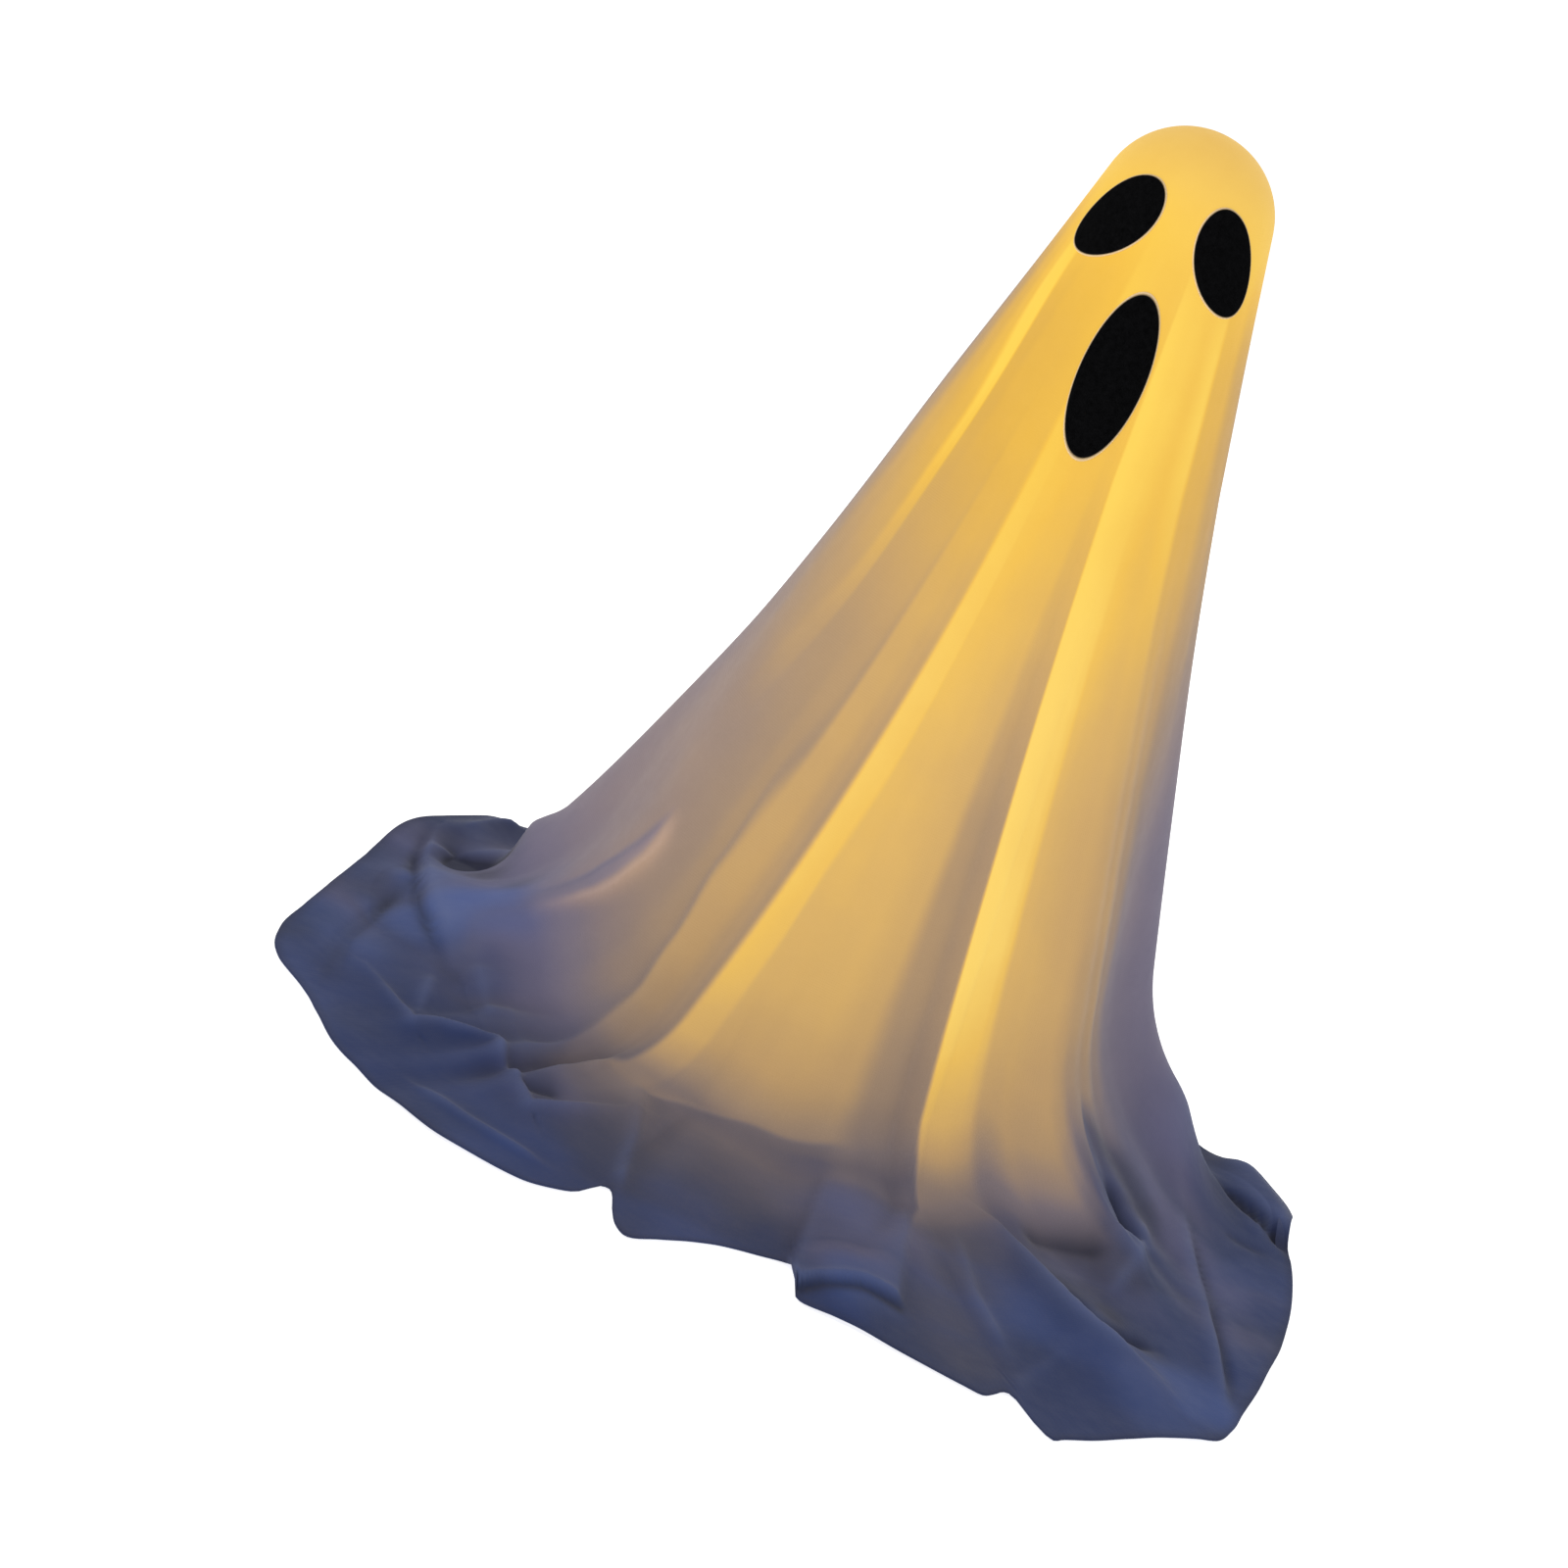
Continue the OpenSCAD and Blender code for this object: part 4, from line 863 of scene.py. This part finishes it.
# Screen colours of painted light and shade: blue light and navy shade on the ground, cool light of the
# sides, highlights on the leaf's edge and on crests, shade in hollows and on the turned hem
DUSK_LIGHT_BLUE, DUSK_SHADE_NAVY, SIDE_LILAC = (62, 81, 138), (40, 54, 94), (112, 108, 138)
LEAF_EDGE_HIGHLIGHT, CREST_HIGHLIGHT, HOLLOW_SHADE, HEM_SHADE = (180, 150, 144), (98, 110, 152), (34, 35, 48), (44, 46, 66)
# Scale of the weave's texture, which makes about four waves a centimetre
WEAVE_SCALE = 125.0


def split_shades(tree, share, shades):
    """Colour that the cloth reflects and colour of its own light, by the glow."""
    reflected = []
    shining = []
    for place, colour, own in shades:
        reflected.append((place, tuple(v * (1 - own) for v in linear(*colour))))
        shining.append((place, tuple(v * own for v in linear(*colour))))
    return ramp(tree, share, reflected), ramp(tree, share, shining)


def lay(tree, base, share, most, colour):
    """A colour with a screen colour laid over it, by a share that is scaled to its most."""
    return blend(tree, times(tree, share, most), base, linear(*colour))


def lay_painted_light(tree, base, share):
    """The reflected colour with painted light and shade laid over it: dusk light and shade on the ground,
    cool light on the sides, highlights on the leaf's edge and on crests, shade in hollows and on the hem.
    """
    low = fade(tree, share, (0.05, 1.0), (0.25, 0.0))
    # Painted dusk light on the dim cloth: blue patches of light and navy patches of shade
    patch = fade(tree, noise(tree, 5.5, 2.0), (0.42, 0.0), (0.62, 1.0))
    base = lay(tree, base, times(tree, patch, low), 0.45, DUSK_LIGHT_BLUE)
    navy = fade(tree, noise(tree, 3.6, 2.0, stretch=(1.0, 1.0, 3.0)), (0.46, 0.0), (0.6, 1.0))
    base = lay(tree, base, times(tree, navy, low), 0.7, DUSK_SHADE_NAVY)
    # Painted cool light of the sides, with painted shade in the leaf's hollow
    base = lay(tree, base, attribute(tree, "cool"), 0.55, SIDE_LILAC)
    # Spots of painted dusk light and shade on the ground
    for tint, fray, colour, spots in PAINTED_DUSK_LIGHT:
        base = lay(tree, base, attribute(tree, tint), 0.75, colour)
    # Painted highlight on the leaf's edge
    base = lay(tree, base, attribute(tree, "pale"), 0.42, LEAF_EDGE_HIGHLIGHT)
    # Painted highlight on crests where the cloth lies low
    base = lay(tree, base, times(tree, attribute(tree, "crest"), low), 0.7, CREST_HIGHLIGHT)
    # Painted shade in hollows and grooves
    deep = sums(tree, "MINIMUM", attribute(tree, "deep"), 0.8)
    base = blend(tree, deep, base, linear(*HOLLOW_SHADE))
    # Painted shade along the turned hem
    band = fade(tree, attribute(tree, "from_hem"), (0.0, 1.0), (0.004, 0.55), (0.012, 0.0))
    return lay(tree, base, band, 0.45, HEM_SHADE)


def cloth_material():
    """Cloth with its inner light painted in: its own light, painted dusk light and shade, and a plain weave.
    """
    material, tree, bsdf = nodes_of("sheet_cloth")
    mottle = times(tree, sums(tree, "SUBTRACT", noise(tree, 9.0, 4.0), 0.5), 0.09)
    share = sums(tree, "ADD", attribute(tree, "glow"), mottle)
    base, own_light = split_shades(tree, share, CLOTH_SHADES)
    gold_base, gold_light = split_shades(tree, share, GOLD_SHADES)
    # Painted golden light on the face, over the cloth's own light and its reflected colour
    gold = times(tree, attribute(tree, "golden"), fade(tree, share, (0.5, 0.0), (0.8, 0.9)))
    own_light = blend(tree, gold, own_light, gold_light)
    base = lay_painted_light(tree, blend(tree, gold, base, gold_base), share)
    tree.links.new(base, bsdf.inputs["Base Color"])
    tree.links.new(own_light, bsdf.inputs["Emission Color"])
    bsdf.inputs["Emission Strength"].default_value = 1.0
    roughen(tree, bsdf, noise(tree, 60.0, 2.0), 0.74, 0.9)
    bsdf.inputs["Sheen Weight"].default_value = 0.12
    bsdf.inputs["Sheen Roughness"].default_value = 0.5
    bsdf.inputs["Specular IOR Level"].default_value = 0.2
    # Plain weave over soft crumples
    threads = add(tree, "ShaderNodeUVMap", uv_map="threads").outputs["UV"]
    waves = []
    for direction in ("X", "Y"):
        wave = add(tree, "ShaderNodeTexWave", Scale=WEAVE_SCALE, Distortion=0.6, bands_direction=direction)
        tree.links.new(threads, wave.inputs["Vector"])
        waves.append(wave.outputs["Fac"])
    weave = times(tree, times(tree, *waves), 0.5)
    crumple = times(tree, noise(tree, 22.0, 5.0), 9.0)
    bump(tree, bsdf, sums(tree, "ADD", weave, crumple), 0.35, 0.0004)
    return material


def felt_material():
    """Black felt: fibres in clumps, with a pale rim at its edge."""
    material, tree, bsdf = nodes_of("black_felt")
    fibre = noise(tree, 900.0, 4.0)
    clump = noise(tree, 160.0, 3.0)
    mix = sums(tree, "ADD", times(tree, fibre, 0.6), times(tree, clump, 0.4))
    base = ramp(tree, mix, [(0.35, (0.0006, 0.0006, 0.0007)), (0.7, (0.004, 0.004, 0.0045))])
    rim = fade(tree, attribute(tree, "edge"), (0.955, 0.0), (0.985, 1.0))
    base = blend(tree, rim, base, linear(226, 196, 150))
    tree.links.new(base, bsdf.inputs["Base Color"])
    bsdf.inputs["Roughness"].default_value = 1.0
    bsdf.inputs["Specular IOR Level"].default_value = 0.04
    bump(tree, bsdf, mix, 0.5, 0.0006)
    return material


def finish(name, colour, second, rough, grain, relief, metal=0.0, stretch=None, coat=0.0, light=None):
    """A procedural finish: two shades, a roughness that varies and a fine relief."""
    material, tree, bsdf = nodes_of(name)
    fine = noise(tree, grain, 4.0, stretch=stretch)
    broad = noise(tree, grain / 14.0, 3.0)
    mix = sums(tree, "ADD", times(tree, fine, 0.55), times(tree, broad, 0.45))
    base = ramp(tree, mix, [(0.36, linear(*colour)), (0.64, linear(*second))])
    tree.links.new(base, bsdf.inputs["Base Color"])
    roughen(tree, bsdf, fine, *rough)
    bsdf.inputs["Metallic"].default_value = metal
    bsdf.inputs["Coat Weight"].default_value = coat
    if light:
        dull, bright, strength = light
        glowing = ramp(tree, broad, [(0.3, linear(*dull)), (0.7, linear(*bright))])
        tree.links.new(glowing, bsdf.inputs["Emission Color"])
        bsdf.inputs["Emission Strength"].default_value = strength
    bump(tree, bsdf, fine, 0.4, relief)
    return material


def cell_material():
    """Cell jacket: dark body, coppery band at the nub's end."""
    low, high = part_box("battery_cell_middle")
    material, tree, bsdf = nodes_of("cell_jacket")
    place = add(tree, "ShaderNodeTexCoord").outputs["Object"]
    parts = add(tree, "ShaderNodeSeparateXYZ")
    tree.links.new(place, parts.inputs["Vector"])
    share = sums(tree, "DIVIDE", sums(tree, "SUBTRACT", parts.outputs["Z"], low[2]), high[2] - low[2])
    wear = times(tree, sums(tree, "SUBTRACT", noise(tree, 500.0), 0.5), 0.02)
    dark, copper, steel = linear(34, 35, 38), linear(176, 112, 62), linear(186, 186, 182)
    stops = [(0.0, steel), (0.02, dark), (0.66, dark), (0.67, copper), (0.955, copper), (0.965, steel)]
    tree.links.new(ramp(tree, sums(tree, "ADD", share, wear), stops), bsdf.inputs["Base Color"])
    roughen(tree, bsdf, noise(tree, 300.0), 0.28, 0.42)
    bsdf.inputs["Metallic"].default_value = 0.35
    bump(tree, bsdf, noise(tree, 700.0), 0.2, 0.0001)
    return material


def board_material():
    """Circuit board: green mask over copper tracks."""
    material, tree, bsdf = nodes_of("board_green")
    place = add(tree, "ShaderNodeTexCoord").outputs["Object"]
    track = add(tree, "ShaderNodeTexBrick", Scale=260.0)
    track.inputs["Mortar Size"].default_value = 0.09
    for socket, colour in (("Color1", (24, 84, 52)), ("Color2", (20, 72, 46)), ("Mortar", (62, 128, 74))):
        track.inputs[socket].default_value = (*linear(*colour), 1.0)
    mapping = add(tree, "ShaderNodeMapping", Rotation=(np.pi / 2, 0.0, 0.0))
    tree.links.new(place, mapping.inputs["Vector"])
    tree.links.new(mapping.outputs["Vector"], track.inputs["Vector"])
    tree.links.new(track.outputs["Color"], bsdf.inputs["Base Color"])
    roughen(tree, bsdf, noise(tree, 400.0), 0.3, 0.45)
    bump(tree, bsdf, track.outputs["Fac"], 0.3, 0.0001)
    return material


def dress(material, *names):
    for name in names:
        for slot in NODES[name].material_slots:
            slot.material = material


# Finishes of the CAD pieces: two screen colours, roughness, grain, relief, what else, and the nodes
LEGS = ("front", "rear_right", "rear_left")
ALONG_POLE, ALONG_WIRE = (1.0, 1.0, 0.02), (1.0, 1.0, 3.0)
# Painted glow of the milky ball: dull and bright screen colour, strength
BALL_LIGHT = ((255, 178, 80), (255, 196, 104), 0.12)
BULB_LIGHT = ((255, 196, 88), (255, 222, 140), 4.0)
FINISHES = [
    ("leg_paint", (38, 39, 42), (52, 53, 57), (0.34, 0.5), 900.0, 0.00012, {"coat": 0.25},
     ["leg_" + leg for leg in LEGS]),
    ("rubber", (26, 26, 27), (40, 40, 41), (0.78, 0.95), 700.0, 0.0003, {},
     ["hub_pad"] + ["foot_" + leg for leg in LEGS]),
    ("dark_plastic", (44, 45, 48), (58, 59, 62), (0.48, 0.66), 1100.0, 0.0002, {},
     ["base_hub", "pole_clip", "battery_case", "battery_door"]),
    ("pole_aluminium", (168, 170, 172), (196, 198, 200), (0.26, 0.44), 1400.0, 0.00006,
     {"metal": 1.0, "stretch": ALONG_POLE}, ["lower_pole", "upper_pole"]),
    ("steel", (150, 151, 154), (182, 183, 186), (0.22, 0.4), 1600.0, 0.00005, {"metal": 1.0},
     ["leg_pins", "clip_screws"]),
    ("milky_plastic", (222, 202, 160), (232, 214, 176), (0.36, 0.5), 800.0, 0.0001, {"light": BALL_LIGHT},
     ["head_socket", "head_lower_shell", "head_upper_shell"]),
    ("wire_lacquer", (120, 74, 40), (150, 96, 54), (0.3, 0.45), 1500.0, 0.00006,
     {"metal": 0.5, "stretch": ALONG_WIRE}, ["light_wire"]),
    ("bulb", (255, 226, 150), (255, 240, 190), (0.12, 0.22), 900.0, 0.00004, {"light": BULB_LIGHT},
     ["light_bulbs"]),
    ("tie_nylon", (214, 214, 208), (228, 228, 222), (0.42, 0.58), 1500.0, 0.0001, {}, ["cable_ties"]),
    ("contact_brass", (188, 150, 72), (212, 178, 102), (0.24, 0.4), 1500.0, 0.00005, {"metal": 1.0},
     ["contact_plates"]),
    ("knob_plastic", (196, 58, 40), (214, 76, 54), (0.4, 0.55), 1300.0, 0.00012, {}, ["switch_slider"]),
]
for *values, more, nodes in FINISHES:
    dress(finish(*values, **more), *nodes)
dress(cell_material(), "battery_cell_left", "battery_cell_middle", "battery_cell_right")
dress(board_material(), "circuit_board")

# Cloth and face
sheet = make_sheet()
sheet.data.materials.append(cloth_material())
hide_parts("sheet")
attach(sheet, "sheet")

felt = felt_material()
for name, *sizes in FACE:
    oval = make_oval(name + "_felt", *sizes)
    oval.data.materials.append(felt)
    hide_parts(name)
    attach(oval, "sheet")

# Floor and light
FLOOR_SIZE, FLOOR_DROP = 240.0, 0.0006
FLOOR_LIGHT = ((255, 255, 255), (250, 250, 250), 0.85)
# Lights: name, place, size, power, colour
LIGHTS = [
    ("key", (-2.2, -3.0, 3.2), 2.2, 78.0, (1.0, 0.98, 0.95)),
    ("fill", (2.8, -2.2, 2.4), 2.8, 26.0, (0.95, 0.97, 1.0)),
    ("back", (0.4, 3.2, 3.0), 3.0, 36.0, (1.0, 1.0, 1.0)),
]
LIGHT_AIM = Vector((0.0, 0.0, 0.4))
SKY_COLOUR, SKY_STRENGTH = (0.93, 0.95, 1.0, 1.0), 0.34


def make_floor():
    bpy.ops.mesh.primitive_plane_add(size=FLOOR_SIZE, location=(0.0, 0.0, -FLOOR_DROP))
    floor = bpy.context.object
    floor.name = "floor"
    material = finish("floor", (236, 236, 234), (240, 240, 238), (0.8, 0.9), 60.0, 0.0002, light=FLOOR_LIGHT)
    floor.data.materials.append(material)


def make_light(name, place, size, power, colour):
    data = bpy.data.lights.new(name, "AREA")
    data.shape = "DISK"
    data.size = size
    data.energy = power
    data.color = colour
    lamp = put(name, data)
    lamp.location = place
    lamp.rotation_euler = (LIGHT_AIM - Vector(place)).to_track_quat("-Z", "Y").to_euler()


def make_sky():
    world = bpy.data.worlds.new("studio")
    world.use_nodes = True
    sky = world.node_tree.nodes["Background"]
    sky.inputs["Color"].default_value = SKY_COLOUR
    sky.inputs["Strength"].default_value = SKY_STRENGTH
    bpy.context.scene.world = world


make_floor()
for light in LIGHTS:
    make_light(*light)
make_sky()
bpy.context.scene.view_settings.view_transform = "Standard"
